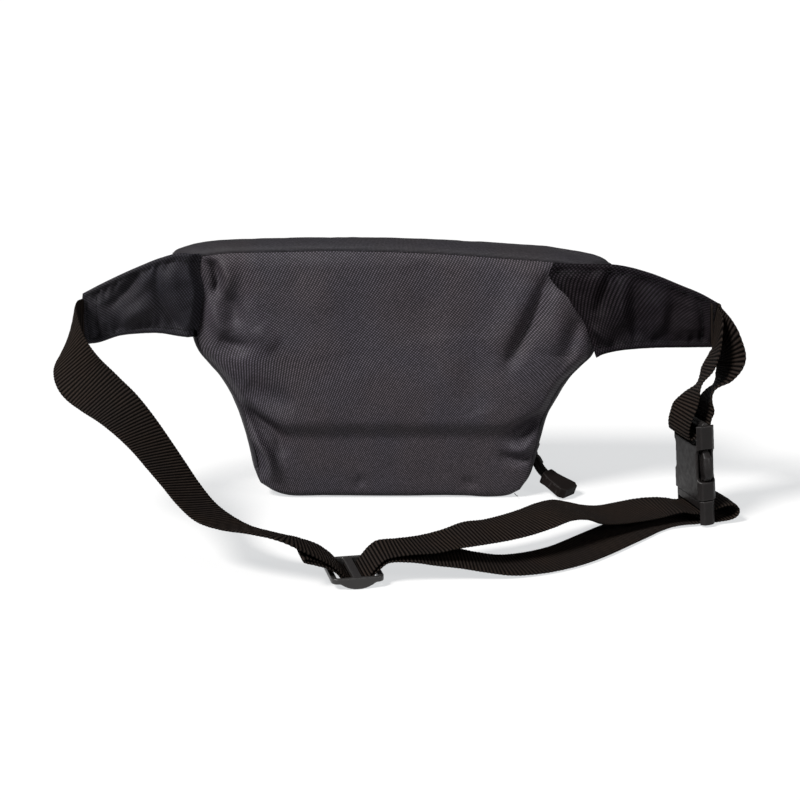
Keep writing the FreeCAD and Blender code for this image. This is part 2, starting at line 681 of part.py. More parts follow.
def hex_block(half_width, thickness, z0, z1, bevel):
    """Block with bevelled long edges: local x across, y through."""
    h = thickness / 2
    outline = [
        Vec(-half_width, -h + bevel, z0), Vec(-half_width + bevel, -h, z0), Vec(half_width - bevel, -h, z0),
        Vec(half_width, -h + bevel, z0), Vec(half_width, h - bevel, z0), Vec(half_width - bevel, h, z0),
        Vec(-half_width + bevel, h, z0), Vec(-half_width, h - bevel, z0),
    ]
    return prism(outline, Vec(0, 0, z1 - z0))


def bar(half_length, radius, z):
    return Part.makeCylinder(radius, 2 * half_length, Vec(-half_length, 0, z), Vec(1, 0, 0))


def buckle_female():
    half = BUCKLE_HALF_WIDTH
    outer = hex_block(half, BUCKLE_THICK, MOUTH[0], BUCKLE_LENGTH - END_BAR / 2, 2.2)
    cavity_half, cavity_y = 16.6, BUCKLE_THICK / 2 - PLATE
    outer = outer.cut(box(-cavity_half, cavity_half, -cavity_y, cavity_y, MOUTH[0] - 1, WINDOW_TOP))
    for side in (1, -1):
        x0, x1 = sorted((side * 14.8, side * (half + 1)))
        window = box(x0, x1, -10, 10, MOUTH[1], WINDOW_TOP)
        through = [e for e in window.Edges if abs(e.Vertexes[0].Y - e.Vertexes[1].Y) > 1]
        corners = [e for e in through if abs(e.Vertexes[0].X) < 15]
        outer = outer.cut(window.makeFillet(4.0, corners))
    thin = 4.0
    for side in (1, -1):
        y0, y1 = sorted((side * thin, side * 10))
        outer = outer.cut(box(-SLOT_HALF, SLOT_HALF, y0, y1, 49, BUCKLE_LENGTH + 1))
    outer = outer.cut(box(-SLOT_HALF, SLOT_HALF, -10, 10, 52.4, BUCKLE_LENGTH + 1))
    outer = outer.cut(box(-SLOT_HALF, SLOT_HALF, -10, 10, 47.6, 49.8))
    outer = outer.fuse(bar(SLOT_HALF + 1, END_BAR / 2, BUCKLE_LENGTH - END_BAR / 2 - 0.6))
    return outer.removeSplitter()


def buckle_male():
    base = hex_block(BUCKLE_HALF_WIDTH, 9.0, 0, MALE_TOP, 2.0)
    base = base.cut(box(-SLOT_HALF, SLOT_HALF, -10, 10, -1, 9.6))
    base = base.fuse(bar(SLOT_HALF + 1, MALE_BAR_RADIUS, MALE_BAR_Z))
    tongue = box(-2.4, 2.4, -2, 2, MALE_TOP - 0.5, 40)
    web = box(-15.5, 15.5, -2.6, 2.6, MALE_TOP - 0.5, 15.2)
    return base.fuse([tongue, web]).removeSplitter()


def latch_arm(side):
    """Springy arm with its thumb pad, hinged near the male half's base. side is +1 or -1."""
    x = ARM_HINGE_X
    outline = [
        (x - 1.0, 15.6), (x + 1.4, 15.6), (x + 1.8, 27.2), (18.2, 27.2), (19.8, 30), (20.0, 35),
        (18.6, 41), (16.0, 45), (13.0, 45), (x - 0.2, 34), (x - 0.6, 24),
    ]
    points = [Vec(px, -3.2, pz) for px, pz in outline]
    foot = Part.makeCylinder(0.7, 6.4, Vec(x, -3.2, ARM_HINGE_Z), Vec(0, 1, 0))
    arm = prism(points, Vec(0, 6.4, 0)).fuse(foot)
    return arm if side > 0 else mirrored(arm)


def build_buckle():
    rotation = buckle_rotation()
    save("buckle_female", placed(buckle_female(), BUCKLE_AT, rotation))
    save("buckle_male", placed(buckle_male(), BUCKLE_AT, rotation))
    save("latch_arm_near", placed(latch_arm(1), BUCKLE_AT, rotation))
    save("latch_arm_far", placed(latch_arm(-1), BUCKLE_AT, rotation))
    print("buckle up", rotation.multVec(Vec(0, 0, 1)), "through", rotation.multVec(Vec(0, 1, 0)))
    print("arm hinges", *(buckle_point(x, 0, ARM_HINGE_Z) for x in (ARM_HINGE_X, -ARM_HINGE_X)))


def main():
    os.makedirs("parts", exist_ok=True)
    build_body()
    build_bindings()
    build_pocket()
    build_stops()
    build_main_pull()
    build_pocket_pull()
    build_wings()
    build_left_strap()
    build_slider_webbing()
    build_runs()
    build_right_strap()
    build_glide()
    build_buckle()


main()
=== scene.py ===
"""Looks of a waist pack: sewn body, padded wings, ribbed webbing, buckle, slider, zips and pull cord.

Points and sizes are in millimetres in the part's frame (+Z up, +X along the belt, +Y to the pack's
front) and become metres when a mesh is made. Side +1 is the buckle's side, side -1 the other.
"""
import math

import bmesh
import bpy
import numpy as np
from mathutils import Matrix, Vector, noise
from mathutils.bvhtree import BVHTree


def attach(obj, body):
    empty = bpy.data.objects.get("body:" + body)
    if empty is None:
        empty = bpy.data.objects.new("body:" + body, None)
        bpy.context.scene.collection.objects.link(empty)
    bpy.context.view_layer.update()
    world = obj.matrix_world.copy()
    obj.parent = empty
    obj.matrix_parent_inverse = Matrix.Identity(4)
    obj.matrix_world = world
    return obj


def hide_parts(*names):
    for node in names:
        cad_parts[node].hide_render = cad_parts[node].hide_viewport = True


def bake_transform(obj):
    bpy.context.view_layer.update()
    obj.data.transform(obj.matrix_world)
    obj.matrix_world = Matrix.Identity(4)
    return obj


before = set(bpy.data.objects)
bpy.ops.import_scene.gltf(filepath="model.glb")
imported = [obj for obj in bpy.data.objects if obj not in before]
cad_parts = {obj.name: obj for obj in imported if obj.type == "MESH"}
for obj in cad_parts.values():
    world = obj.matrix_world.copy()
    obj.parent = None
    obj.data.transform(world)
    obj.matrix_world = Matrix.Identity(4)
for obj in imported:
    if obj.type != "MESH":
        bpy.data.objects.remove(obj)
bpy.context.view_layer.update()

MM = 0.001
CAMERA_TARGET = (0.0, -38.0, 62.0)
CAMERA_DISTANCE = 1133.0
CAMERA_RISE = 15.0
CAMERA_LENS = 85.0

# ---- pack body, as outlines of (x, z) ----
Y_SEAM_BACK = -37.2
Y_ZIP_BACK = -12.0
Y_ZIP_FRONT = 0.0
Z_BOTTOM_PANEL = 18.0
# The front's y at the floor, and what it loses with each millimetre of height.
FRONT_SLOPE = (30.0, 22.0 / 144.0)
NX, NZ = 132, 92
BACK_OUTLINE = {
    "bottom": [(-84.5, 9.5), (-77, 4.4), (-68, 1.4), (-45, 1.2), (0, 1.0), (38, 1.2), (54, 0.4), (66, 1.5),
               (73, 5)],
    "right": [(73, 5), (78.5, 14), (83, 32), (87, 50), (92.5, 63), (100, 75), (108.4, 83.4), (115.2, 90.4),
              (117, 106), (116.5, 122), (115, 136), (111, 144)],
    "top": [(-117, 150.8), (-100, 152.6), (-82, 153), (-41, 153.8), (12, 152.6), (41, 150.8), (70, 148.6),
            (92, 146.8), (111, 144)],
    "left": [(-84.5, 9.5), (-87, 18), (-88.8, 28), (-91, 38), (-94, 50), (-98.5, 63), (-105, 75),
             (-112, 83.5), (-119.5, 92), (-122.5, 101), (-119.5, 115), (-118, 130), (-120.5, 143),
             (-117, 150.8)],
}
ZIP_OUTLINE = {
    "bottom": [(-84, 8), (-77, 3.2), (-68, 0.8), (-45, 0.6), (0, 0.6), (38, 0.6), (54, 0.6), (62, 1.2),
               (70, 4)],
    "right": [(70, 4), (76, 13), (79.5, 23), (82.7, 32), (85.8, 41), (89, 50), (95, 60), (104, 75),
              (115, 94), (122, 110), (128, 125), (129, 138)],
    "top": [(-137, 147), (-124, 151.6), (-96, 153.6), (-60, 155), (-30, 155), (18, 154.2), (60, 151.4),
            (96, 147.2), (129, 138)],
    "left": [(-84, 8), (-87.6, 15), (-90, 25), (-93, 38), (-97, 50), (-101, 60), (-108, 73), (-119, 90),
             (-125, 108), (-132, 124), (-137.5, 138), (-137, 147)],
}
FRONT_OUTLINE = {
    "bottom": [(-68, 4), (-58, 1.0), (-40, 0.7), (0, 0.7), (40, 0.7), (58, 1.0), (68, 4)],
    "right": [(68, 4), (74, 14), (84, 46), (105, 90), (116, 122), (117, 136), (112, 142)],
    "top": [(-112, 142), (-100, 144.5), (0, 146), (100, 143.5), (112, 142)],
    "left": [(-68, 4), (-74, 14), (-84, 46), (-105, 90), (-116, 122), (-117, 136), (-112, 142)],
}


def symmetric(bottom, right, top):
    """An outline whose left half mirrors its right; bottom and top start at the middle."""
    left, low, high = ([(-x, z) for x, z in side] for side in (right, bottom[:0:-1], top[:0:-1]))
    return {"bottom": low + bottom, "right": right, "top": high + top, "left": left}


POCKET_BASE = symmetric([(0, 3), (50, 3.5), (60, 6)],
                        [(60, 6), (67, 16), (82, 52), (91, 78), (92, 90), (88, 100)],
                        [(0, 100), (60, 100), (88, 100)])
POCKET_FACE = symmetric([(0, 5), (44, 5.5), (54, 8)],
                        [(54, 8), (61, 18), (74, 50), (83, 72), (84, 80), (80, 88)],
                        [(0, 88), (50, 88), (80, 88)])
POCKET_DEPTH = 13.0
POCKET_ZIP_HALF = 74.0

# ---- belt wings ----
WING_ROOT = (112.0, -41.4)
WING_YAW = 8.0
WING_GRID = {"nx": 84, "nz": 58}
WING_CLOTH = (72.0, 45.0)
STITCH_INSET = 4.2
LEFT_WING = {
    "bottom": [(-120.5, 101), (-130, 102.5), (-141.6, 104.8), (-153.4, 105), (-165.2, 104), (-177, 100.4),
               (-184.6, 99.6)],
    "right": [(-184.6, 99.6), (-186, 108), (-186.4, 119), (-185.2, 130)],
    "top": [(-117, 150.5), (-128, 152.5), (-139.8, 150), (-151.6, 145.6), (-163.4, 140.6), (-175.4, 135),
            (-185.2, 130)],
    "left": [(-120.5, 101), (-117.5, 115), (-115.8, 130), (-118.5, 142), (-117, 150.5)],
}
RIGHT_WING = {
    "bottom": [(116.4, 89.4), (121, 91.4), (130, 93.8), (148, 96), (171.4, 97.2), (186, 97.8)],
    "right": [(186, 97.8), (187.4, 106), (187.6, 116), (186.6, 124)],
    "top": [(90.5, 146), (110, 145.6), (128, 145.4), (146, 141.3), (164, 134.5), (176, 129.7), (186.6, 124)],
    "left": [(116.4, 89.4), (112.5, 101), (107, 114), (97, 127), (87.6, 139), (90.5, 146)],
}
LEFT_WING_FOLDS = [
    ([(-153, 141), (-157, 135), (-162, 129), (-171, 121)], 3.2, -2.6),
    ([(-164, 112), (-156, 117), (-143, 127)], 4.6, 2.0),
    ([(-143, 138), (-142, 129), (-135, 115), (-130, 106)], 3.0, -2.2),
    ([(-136, 146), (-133, 134), (-126, 120)], 4.4, 1.8),
    ([(-178, 127), (-173, 118), (-170, 108)], 4.6, 1.0),
    ([(-151, 110), (-147, 106)], 2.6, -1.2),
    ([(-148, 148), (-146, 142), (-150, 134)], 3.0, 1.3),
]
RIGHT_WING_FOLDS = [
    ([(114, 108), (120, 103), (125, 98)], 2.8, 2.4),
    ([(107, 111), (111, 99), (116, 93)], 3.2, -2.2),
    ([(125, 142), (120, 129), (117, 115)], 3.6, -2.8),
    ([(132, 139), (129.5, 122), (132, 109)], 4.0, 2.4),
    ([(138, 133), (139, 116), (140, 101)], 3.6, -2.2),
    ([(150, 128), (154, 116), (147, 103)], 5.0, 1.6),
    ([(163, 132), (160, 118), (158, 103)], 4.0, -1.4),
    ([(172, 126), (172, 114), (174, 103)], 4.0, 1.2),
    ([(96, 143), (108, 138), (122, 141)], 5, 1.4),
]

# ---- webbing: (centre, direction across the band) ----
# LEFT_STRAP, OUTER_RUN and INNER_RUN started as the result of a least-squares fit, and NEAR_STRAP
# and FAR_STRAP as worked-out positions. Some rows were changed afterwards.
WEB_WIDTH = 30.0
WEB_HALF = 0.7
RIB_PITCH = 2.0
ROW_STEP = 0.4
# Columns of a half band, from its middle (0) to its edge (1).
BAND_SHARES = [0, 0.25, 0.5, 0.7, 0.86, 0.95, 0.985, 1]
LEFT_STRAP = [
    ((-189.4, -64.1, 113.2), (0.22, -0.26, 0.94)),
    ((-189.7, -76.5, 107.9), (0.48, -0.37, 0.80)),
    ((-187.5, -88.2, 100.7), (0.70, -0.21, 0.69)),
    ((-180.8, -97.3, 92.0), (0.75, 0.16, 0.64)),
    ((-170.2, -104.2, 84.5), (0.68, 0.52, 0.52)),
    ((-158.7, -110.7, 77.2), (0.65, 0.68, 0.34)),
    ((-148.1, -117.4, 68.6), (0.64, 0.75, 0.14)),
    ((-138.3, -124.8, 59.4), (0.63, 0.78, -0.02)),
    ((-129.2, -133.2, 50.2), (0.62, 0.77, -0.12)),
    ((-120.2, -142.3, 41.4), (0.61, 0.77, -0.20)),
    ((-111.0, -151.9, 33.6), (0.61, 0.77, -0.21)),
    ((-100.3, -161.7, 28.3), (0.59, 0.79, -0.17)),
    ((-87.9, -170.7, 26.3), (0.51, 0.83, -0.23)),
    ((-74.1, -178.1, 26.2), (0.39, 0.87, -0.28)),
    ((-61.5, -182.0, 24.6), (0.18, 0.95, -0.26)),
    ((-51.0, -181.8, 20.4), (-0.05, 0.98, -0.12)),
]
OUTER_RUN = [
    ((1.2, -171.2, 15.8), (-0.28, 0.96, -0.03)),
    ((14.8, -167.6, 15.9), (-0.30, 0.95, 0)),
    ((27.5, -163.2, 17.4), (-0.33, 0.94, 0.02)),
    ((40.0, -158.6, 19.2), (-0.38, 0.92, 0.11)),
    ((52.3, -153.3, 19.4), (-0.44, 0.89, 0.09)),
    ((64.0, -146.9, 20.2), (-0.52, 0.85, 0.09)),
    ((75.2, -139.5, 21.4), (-0.59, 0.80, 0.08)),
    ((85.5, -131.2, 22.5), (-0.64, 0.77, 0.08)),
    ((95.5, -122.6, 20.9), (-0.63, 0.76, 0.14)),
    ((104.7, -114.2, 16.1), (-0.61, 0.77, 0.18)),
    ((114.0, -105.8, 12.2), (-0.62, 0.77, 0.13)),
    ((124.0, -97.3, 9.6), (-0.60, 0.79, 0.08)),
    ((135.0, -89.4, 8.7), (-0.53, 0.84, 0.09)),
    ((146.7, -82.8, 8.8), (-0.40, 0.91, 0.08)),
]
INNER_RUN = [
    ((3.0, -171.4, 12.2), (-0.25, 0.96, -0.02)),
    ((16.7, -169.3, 10.4), (-0.20, 0.98, 0.02)),
    ((30.4, -167.6, 8.6), (-0.14, 0.99, 0.04)),
    ((43.8, -166.2, 5.6), (-0.15, 0.99, 0.03)),
    ((57.2, -164.0, 3.0), (-0.22, 0.98, 0.04)),
    ((70.6, -159.6, 2.2), (-0.34, 0.94, 0.05)),
    ((83.3, -152.8, 2.0), (-0.48, 0.87, 0.05)),
    ((94.3, -144.4, 2.0), (-0.58, 0.81, 0.05)),
    ((103.8, -134.8, 2.2), (-0.64, 0.76, 0.06)),
    ((112.8, -124.6, 2.4), (-0.68, 0.73, 0.06)),
    ((121.8, -113.6, 2.4), (-0.68, 0.73, 0.05)),
    ((130.4, -103.0, 2.2), (-0.64, 0.77, 0.04)),
    ((139.0, -92.5, 2.2), (-0.56, 0.82, 0.04)),
    ((148.4, -84.2, 2.0), (-0.42, 0.90, 0.02)),
]
NEAR_STRAP = [
    ((184.6, -58.0, 109.2), (0.06, -0.62, 0.79)),
    ((183.8, -65.8, 105.1), (0.06, -0.82, 0.58)),
    ((182.0, -69.5, 98.5), (0.08, -0.94, 0.34)),
    ((178.4, -72.0, 90.1), (0.06, -0.99, 0.15)),
    ((173.4, -73.8, 81.2), (-0.08, -0.97, 0.20)),
    ((168.9, -75.2, 74.6), (0.14, -0.97, 0.13)),
]
FAR_STRAP = [
    ((187.0, -58.0, 108.2), (0.16, -0.52, 0.83)),
    ((190.6, -65.0, 102.6), (0.26, -0.75, 0.60)),
    ((191.6, -70.0, 93.0), (0.42, -0.84, 0.34)),
    ((187.4, -72.5, 84.6), (0.24, -0.94, 0.24)),
    ((181.6, -73.2, 78.4), (-0.08, -0.97, 0.22)),
    ((178.6, -73.2, 71.8), (0.10, -0.98, 0.14)),
]
# In the three-bar slider's frame, (along the belt, height above its middle plane).
GLIDE_AT = (-25.5, -176.5, 5.0)
GLIDE_YAW = 12.0
SLIDER_PATH = [
    (-16.7, 10.6), (-12.4, 7.4), (-9.2, 4.4), (-4.1, -1.7), (-2.3, -2.35), (2.3, -2.35),
    (4.1, -1.7), (8.8, 3.9), (12.4, 7.6), (16, 9.8),
]
TAIL_PATH = [
    (-28, 11), (-22, 9), (-15, 6.3), (-10.9, 3.4), (-5, -3.4), (-2.6, -3.95), (2.6, -3.95),
    (5, -3.4), (10.6, 3), (13.5, 5.6), (17, 7.6),
]
TAIL_HEM = [(-28.9, 12.0), (-27.6, 12.9), (-22, 10.7), (-16.5, 8.6)]
# In the buckle's frame: x across, y through, z up from the male end.
BUCKLE_AT = (174.5, -75.5, 1.2)
BUCKLE_YAW = -75.0
BUCKLE_LEAN = -4.0
BUCKLE_LOOP = [
    (-14, 9.1), (-8, 7.4), (0, 6.7), (8, 8.6), (14, 9.3), (18.5, 8.4), (21, 5.6),
    (20.5, 2.6), (17.5, 0.5), (9, -0.1), (0, 0.5), (-8, 1.0), (-14, 1.6),
]
FEMALE_WRAP = [
    (-5.2, 67.4), (-7.9, 61.6), (-9.3, 56.0), (-8.6, 51.9), (-6.0, 51.8), (-3.6, 53.4), (-1.5, 53.9),
    (1.8, 54.5), (3.4, 56.4), (4.2, 59.4), (5.2, 62.6), (6.8, 66),
]

# ---- zips and pulls ----
COIL_PITCH = 1.5
MAIN_CORD = [
    (86.62, -6.0, 12.32), (85.0, -7.6, 15.8), (83.9, -13.0, 17.8), (84.7, -19.6, 16.2), (88.2, -25.6, 12.0),
    (94.4, -30.6, 8.4),
]
GRIP_WAY = (5.8, -4.6, -2.8)
# Stitches: their length, the gap between two, their depth in the cloth and their radius.
STITCH_LENGTH, STITCH_GAP, STITCH_SINK, STITCH_RADIUS = 2.7, 0.9, 0.05, 0.3

# Folds of the back panel: (points along the fold, half width, height towards the wearer).
BACK_FOLDS = [
    ([(-93, 48), (-85, 37), (-79, 28), (-77, 14)], 2.6, 4.2),
    ([(-96, 60), (-85, 50), (-74, 41), (-71, 28)], 4.0, -2.4),
    ([(-91, 37), (-87, 27), (-84, 15)], 2.6, -2.4),
    ([(-92, 73), (-78, 66), (-62, 60)], 8, -1.9),
    ([(88, 139), (80, 118), (70, 97), (64, 84)], 4.2, -2.8),
    ([(76, 136), (66, 112), (58, 92)], 9, 1.4),
    ([(97, 128), (92, 108), (90, 92)], 9, 2.0),
    ([(106, 112), (101, 98), (98, 86)], 5, -1.6),
    ([(-116, 149), (-110, 143), (-107.5, 134), (-110, 127)], 3.0, -3.4),
    ([(-104, 147), (-101, 138), (-103, 128)], 4.6, 1.9),
    ([(-101, 127), (-98, 118), (-99, 109)], 4.5, -2.2),
    ([(-113, 124), (-108, 113), (-103, 104)], 4.6, 2.1),
    ([(-84, 109), (-79, 102), (-73, 97)], 6, 1.6),
    ([(-107, 101), (-99, 97), (-90, 96)], 4.5, -2.2),
    ([(-92, 124), (-86, 112), (-84, 100)], 6, 0.9),
    ([(88, 55), (78, 47), (69, 39)], 5.0, -2.8),
    ([(81, 36), (74, 32), (66, 33)], 3.0, 1.9),
    ([(80, 27), (70, 25), (60, 28)], 3.2, -1.8),
    ([(45, 100), (44, 70), (48, 56)], 10, -1.0),
    ([(10, 146), (16, 124), (18, 100)], 12, -0.9),
    ([(-40, 148), (-46, 120), (-40, 90)], 14, 0.9),
    ([(-22, 15), (-26, 7)], 3, -0.7),
    ([(38, 13), (46, 7)], 3, -0.9),
]


# ================= small helpers =================

def lerp(a, b, share):
    return a + (b - a) * share


def smoothstep(low, high, value):
    t = np.clip((value - low) / (high - low), 0, 1)
    return t * t * (3 - 2 * t)


def unit(vectors):
    return vectors / np.maximum(np.linalg.norm(vectors, axis=-1, keepdims=True), 1e-9)


def arc_lengths(points):
    return np.concatenate([[0], np.cumsum(np.linalg.norm(np.diff(points, axis=0), axis=1))])


def resample(rows, count, dims):
    """count even steps along the polyline; the first dims columns are its position."""
    along = arc_lengths(rows[:, :dims])
    wanted = np.linspace(0, along[-1], count)
    return np.stack([np.interp(wanted, along, column) for column in rows.T], 1)


def curve_through(rows, dims=3, fine=24):
    """Centripetal Catmull-Rom curve through the rows, as a dense polyline."""
    rows = np.asarray(rows, float)
    p = np.vstack([2 * rows[:1] - rows[1:2], rows, 2 * rows[-1:] - rows[-2:-1]])
    dense = []
    for a, b, c, d in zip(p, p[1:], p[2:], p[3:]):
        gaps = [max(np.linalg.norm((q - r)[:dims]), 1e-6) ** 0.5 for r, q in ((a, b), (b, c), (c, d))]
        k0, k1, k2, k3 = np.cumsum([0] + gaps)
        t = np.linspace(k1, k2, fine, endpoint=False)[:, None]
        ab, bc, cd = (lerp(a, b, (t - k0) / (k1 - k0)), lerp(b, c, (t - k1) / (k2 - k1)),
                      lerp(c, d, (t - k2) / (k3 - k2)))
        abc, bcd = lerp(ab, bc, (t - k0) / (k2 - k0)), lerp(bc, cd, (t - k1) / (k3 - k1))
        dense.append(lerp(abc, bcd, (t - k1) / (k2 - k1)))
    return np.vstack(dense + [rows[-1:]])


def ring_tangents(ring):
    """Direction along a closed ring at each of its points."""
    return unit(np.roll(ring, -1, 0) - np.roll(ring, 1, 0))


def ring_normals(ring):
    """Outward direction in the x-z plane at each point of a closed ring."""
    tangent = ring_tangents(ring)
    return np.stack([tangent[:, 2], 0 * tangent[:, 0], -tangent[:, 0]], 1)


def ripple(points, size, seed):
    """Smooth noise from -1 to 1 at each point, with features of that size."""
    shift = Vector((seed * 17.3, seed * 5.1, seed * 9.7))
    values = [noise.noise(Vector(p) / size + shift) for p in points.reshape(-1, 3)]
    return np.array(values).reshape(points.shape[:-1])


def link(name, data):
    obj = bpy.data.objects.new(name, data)
    bpy.context.scene.collection.objects.link(obj)
    return obj


def mesh_piece(name, points, faces, material, corner_uv=None):
    mesh = bpy.data.meshes.new(name)
    mesh.from_pydata((np.asarray(points, float) * MM).tolist(), [], [list(f) for f in faces])
    if corner_uv is not None:
        mesh.uv_layers.new(name="cloth").data.foreach_set("uv", np.asarray(corner_uv, float).ravel())
    mesh.validate()
    mesh.shade_smooth()
    mesh.materials.append(material)
    return link(name, mesh)


def lattice(name, points, material, wrap=False, u=None, v=None, caps=False):
    """Quads over points[row][column]; wrap closes the columns into a ring. UVs are in millimetres."""
    rows, cols = points.shape[:2]
    spans = cols if wrap else cols - 1
    i, j = np.meshgrid(np.arange(rows - 1), np.arange(spans), indexing="ij")
    k = (j + 1) % cols
    quads = np.stack([i * cols + j, i * cols + k, (i + 1) * cols + k, (i + 1) * cols + j], -1)
    closed = np.concatenate([points, points[:, :1]], 1) if wrap else points
    u = arc_lengths(closed[rows // 2]) if u is None else u
    v = arc_lengths(points[:, cols // 2]) if v is None else v
    corner = np.stack([np.stack([u[j], v[i]], -1), np.stack([u[j + 1], v[i]], -1),
                       np.stack([u[j + 1], v[i + 1]], -1), np.stack([u[j], v[i + 1]], -1)], 2)
    faces, uv = quads.reshape(-1, 4).tolist(), corner.reshape(-1, 2)
    if caps:
        first, last = list(range(cols))[::-1], list(range((rows - 1) * cols, rows * cols))
        faces += [first, last]
        uv = np.vstack([uv, np.zeros((2 * cols, 2))])
    return mesh_piece(name, points.reshape(-1, 3), faces, material, uv)


def thicken(obj, thickness):
    """Gives a sheet its cloth's thickness, inwards from its outer face."""
    m = obj.modifiers.new("cloth", "SOLIDIFY")
    m.thickness = thickness * MM
    m.offset = -1.0
    m.use_even_offset = False
    return obj


def surface_tree(obj):
    return BVHTree.FromPolygons([v.co for v in obj.data.vertices], [p.vertices for p in obj.data.polygons])


def dress(obj, body, slot, *nodes):
    """Puts a piece on its body and hides the CAD nodes that it stands for; slot, the name of its finish, is
    not used.
    """
    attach(obj, body)
    if nodes:
        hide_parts(*nodes)
    return obj


# ================= materials =================

class Shader:
    """A node material with a Principled BSDF whose plain values are set on its own sockets."""

    def __init__(self, name, **values):
        self.material = bpy.data.materials.new(name)
        self.material.use_nodes = True
        self.tree = self.material.node_tree
        self.main = self.tree.nodes["Principled BSDF"]
        for key, value in values.items():
            self.main.inputs[key.replace("_", " ")].default_value = value

    def node(self, kind, inputs=None, **settings):
        made = self.tree.nodes.new("ShaderNode" + kind)
        for key, value in settings.items():
            setattr(made, key, value)
        for key, value in (inputs or {}).items():
            if isinstance(value, bpy.types.NodeSocket):
                self.tree.links.new(value, made.inputs[key])
            else:
                made.inputs[key].default_value = value
        return made

    def coords(self, scale, turn, space):
        """Texture coordinates in millimetres, turned and scaled."""
        source = self.node("TexCoord").outputs[space]
        factor = scale if space == "UV" else scale / MM
        return self.node("Mapping", {"Vector": source, "Rotation": (0, 0, math.radians(turn)),
                                     "Scale": (factor,) * 3}).outputs[0]

    def bands(self, pitch, turn):
        """Sine bands of that pitch; turn is the direction across them, in degrees."""
        return self.node("TexWave", {"Vector": self.coords(1 / pitch, -turn, "UV"), "Scale": math.pi / 10},
                         wave_type="BANDS", bands_direction="X", wave_profile="SIN").outputs["Fac"]

    def speckle(self, size, detail):
        """Noise with features of that size."""
        return self.node("TexNoise", {"Vector": self.coords(1 / size, 0, "Object"), "Scale": 1.0,
                                      "Detail": detail}).outputs["Fac"]

    def math(self, operation, a, b):
        return self.node("Math", {0: a, 1: b}, operation=operation).outputs[0]

    def ramp(self, value, stops):
        """Colour or grey ramp: stops are (position, (r, g, b))."""
        made = self.node("ValToRGB", {"Fac": value})
        elements = made.color_ramp.elements
        while len(elements) < len(stops):
            elements.new(0.5)
        for element, (position, colour) in zip(elements, stops):
            element.position = position
            element.color = (*colour, 1.0)
        return made.outputs["Color"]

    def greys(self, value, *stops):
        """Grey ramp: stops are (position, grey)."""
        return self.ramp(value, [(position, (grey,) * 3) for position, grey in stops])

    def mix(self, share, a, b, blend="MIX"):
        made = self.node("Mix", data_type="RGBA", blend_type=blend)
        for socket, value in ((made.inputs[0], share), (made.inputs[6], a), (made.inputs[7], b)):
            if isinstance(value, bpy.types.NodeSocket):
                self.tree.links.new(value, socket)
            else:
                socket.default_value = value if isinstance(value, float) else (*value, 1.0)
        return made.outputs[2]

    def bump(self, height, depth, strength=1.0):
        return self.node("Bump", {"Height": height, "Distance": depth * MM, "Strength": strength}).outputs[0]

    def out(self, **sockets):
        for key, value in sockets.items():
            self.tree.links.new(value, self.main.inputs[key.replace("_", " ")])
        return self.material


def twill(name, dark, light, turn, pitch=1.3, depth=0.18, gloss=0.14, rough=0.66):
    """Fine diagonal weave: ribs along the diagonal, broken into threads."""
    s = Shader(name, Roughness=rough, Specular_IOR_Level=gloss)
    ribs = s.bands(pitch, turn)
    threads = s.bands(pitch * 0.9, turn + 90)
    weave = s.math("MULTIPLY", ribs, s.math("ADD", s.math("MULTIPLY", threads, 0.85), 0.15))
    uneven = s.greys(s.speckle(1.25, 1.0), (0.36, 0.62), (0.64, 1.0))
    colour = s.mix(s.math("MULTIPLY", weave, uneven), dark, light)
    tint = s.ramp(s.speckle(34, 2.0), [(0.38, (0.95, 0.97, 1.03)), (0.62, (1.03, 0.99, 0.98))])
    colour = s.mix(1.0, colour, tint, "MULTIPLY")
    blotch = s.greys(s.speckle(6.0, 3.0), (0.3, rough - 0.06), (0.7, rough + 0.08))
    return s.out(Base_Color=colour, Roughness=blotch, Normal=s.bump(weave, depth, 0.8))


def woven_tape(name, dark, light, pitch=0.7, depth=0.1, gloss=0.3):
    s = Shader(name, Roughness=0.7, Sheen_Weight=0.5 * gloss, Specular_IOR_Level=gloss)
    weave = s.math("MULTIPLY", s.bands(pitch, 0), s.bands(pitch * 0.8, 90))
    colour = s.mix(s.math("MULTIPLY", weave, s.speckle(1.2, 2.0)), dark, light)
    return s.out(Base_Color=colour, Normal=s.bump(weave, depth))


def webbing_cloth(name, dark, light):
    """Thread-level detail of the ribbed belt: its ribs are in the mesh, and painted shade darkens the
    grooves between them.
    """
    s = Shader(name, Roughness=0.75, Specular_IOR_Level=0.02)
    strands = s.bands(0.62, 0)
    twist = s.bands(0.5, 62)
    cloth = s.math("MULTIPLY", s.math("ADD", s.math("MULTIPLY", strands, 0.6), 0.4), twist)
    fuzz = s.speckle(0.8, 3.0)
    shade = s.math("MULTIPLY", s.math("ADD", cloth, 0.25), s.math("ADD", fuzz, 0.25))
    worn = s.ramp(s.speckle(22, 2.0), [(0.35, (0.92, 0.95, 0.98)), (0.65, (1.08, 1.03, 0.96))])
    colour = s.mix(1.0, s.mix(shade, dark, light), worn, "MULTIPLY")
    # Painted shade: in the grooves between the ribs the colour falls to 0.3 of the dark colour; on the rib
    # crests it stays as it is.
    along = s.node("SeparateXYZ", {0: s.node("TexCoord").outputs["UV"]}).outputs["Y"]
    wave = s.math("SINE", s.math("MULTIPLY", along, math.pi / RIB_PITCH), 0.0)
    rib = s.math("POWER", s.math("ABSOLUTE", wave, 0.0), 3.0)
    colour = s.mix(rib, tuple(c * 0.3 for c in dark), colour)
    return s.out(Base_Color=colour, Normal=s.bump(cloth, 0.14, 0.9))


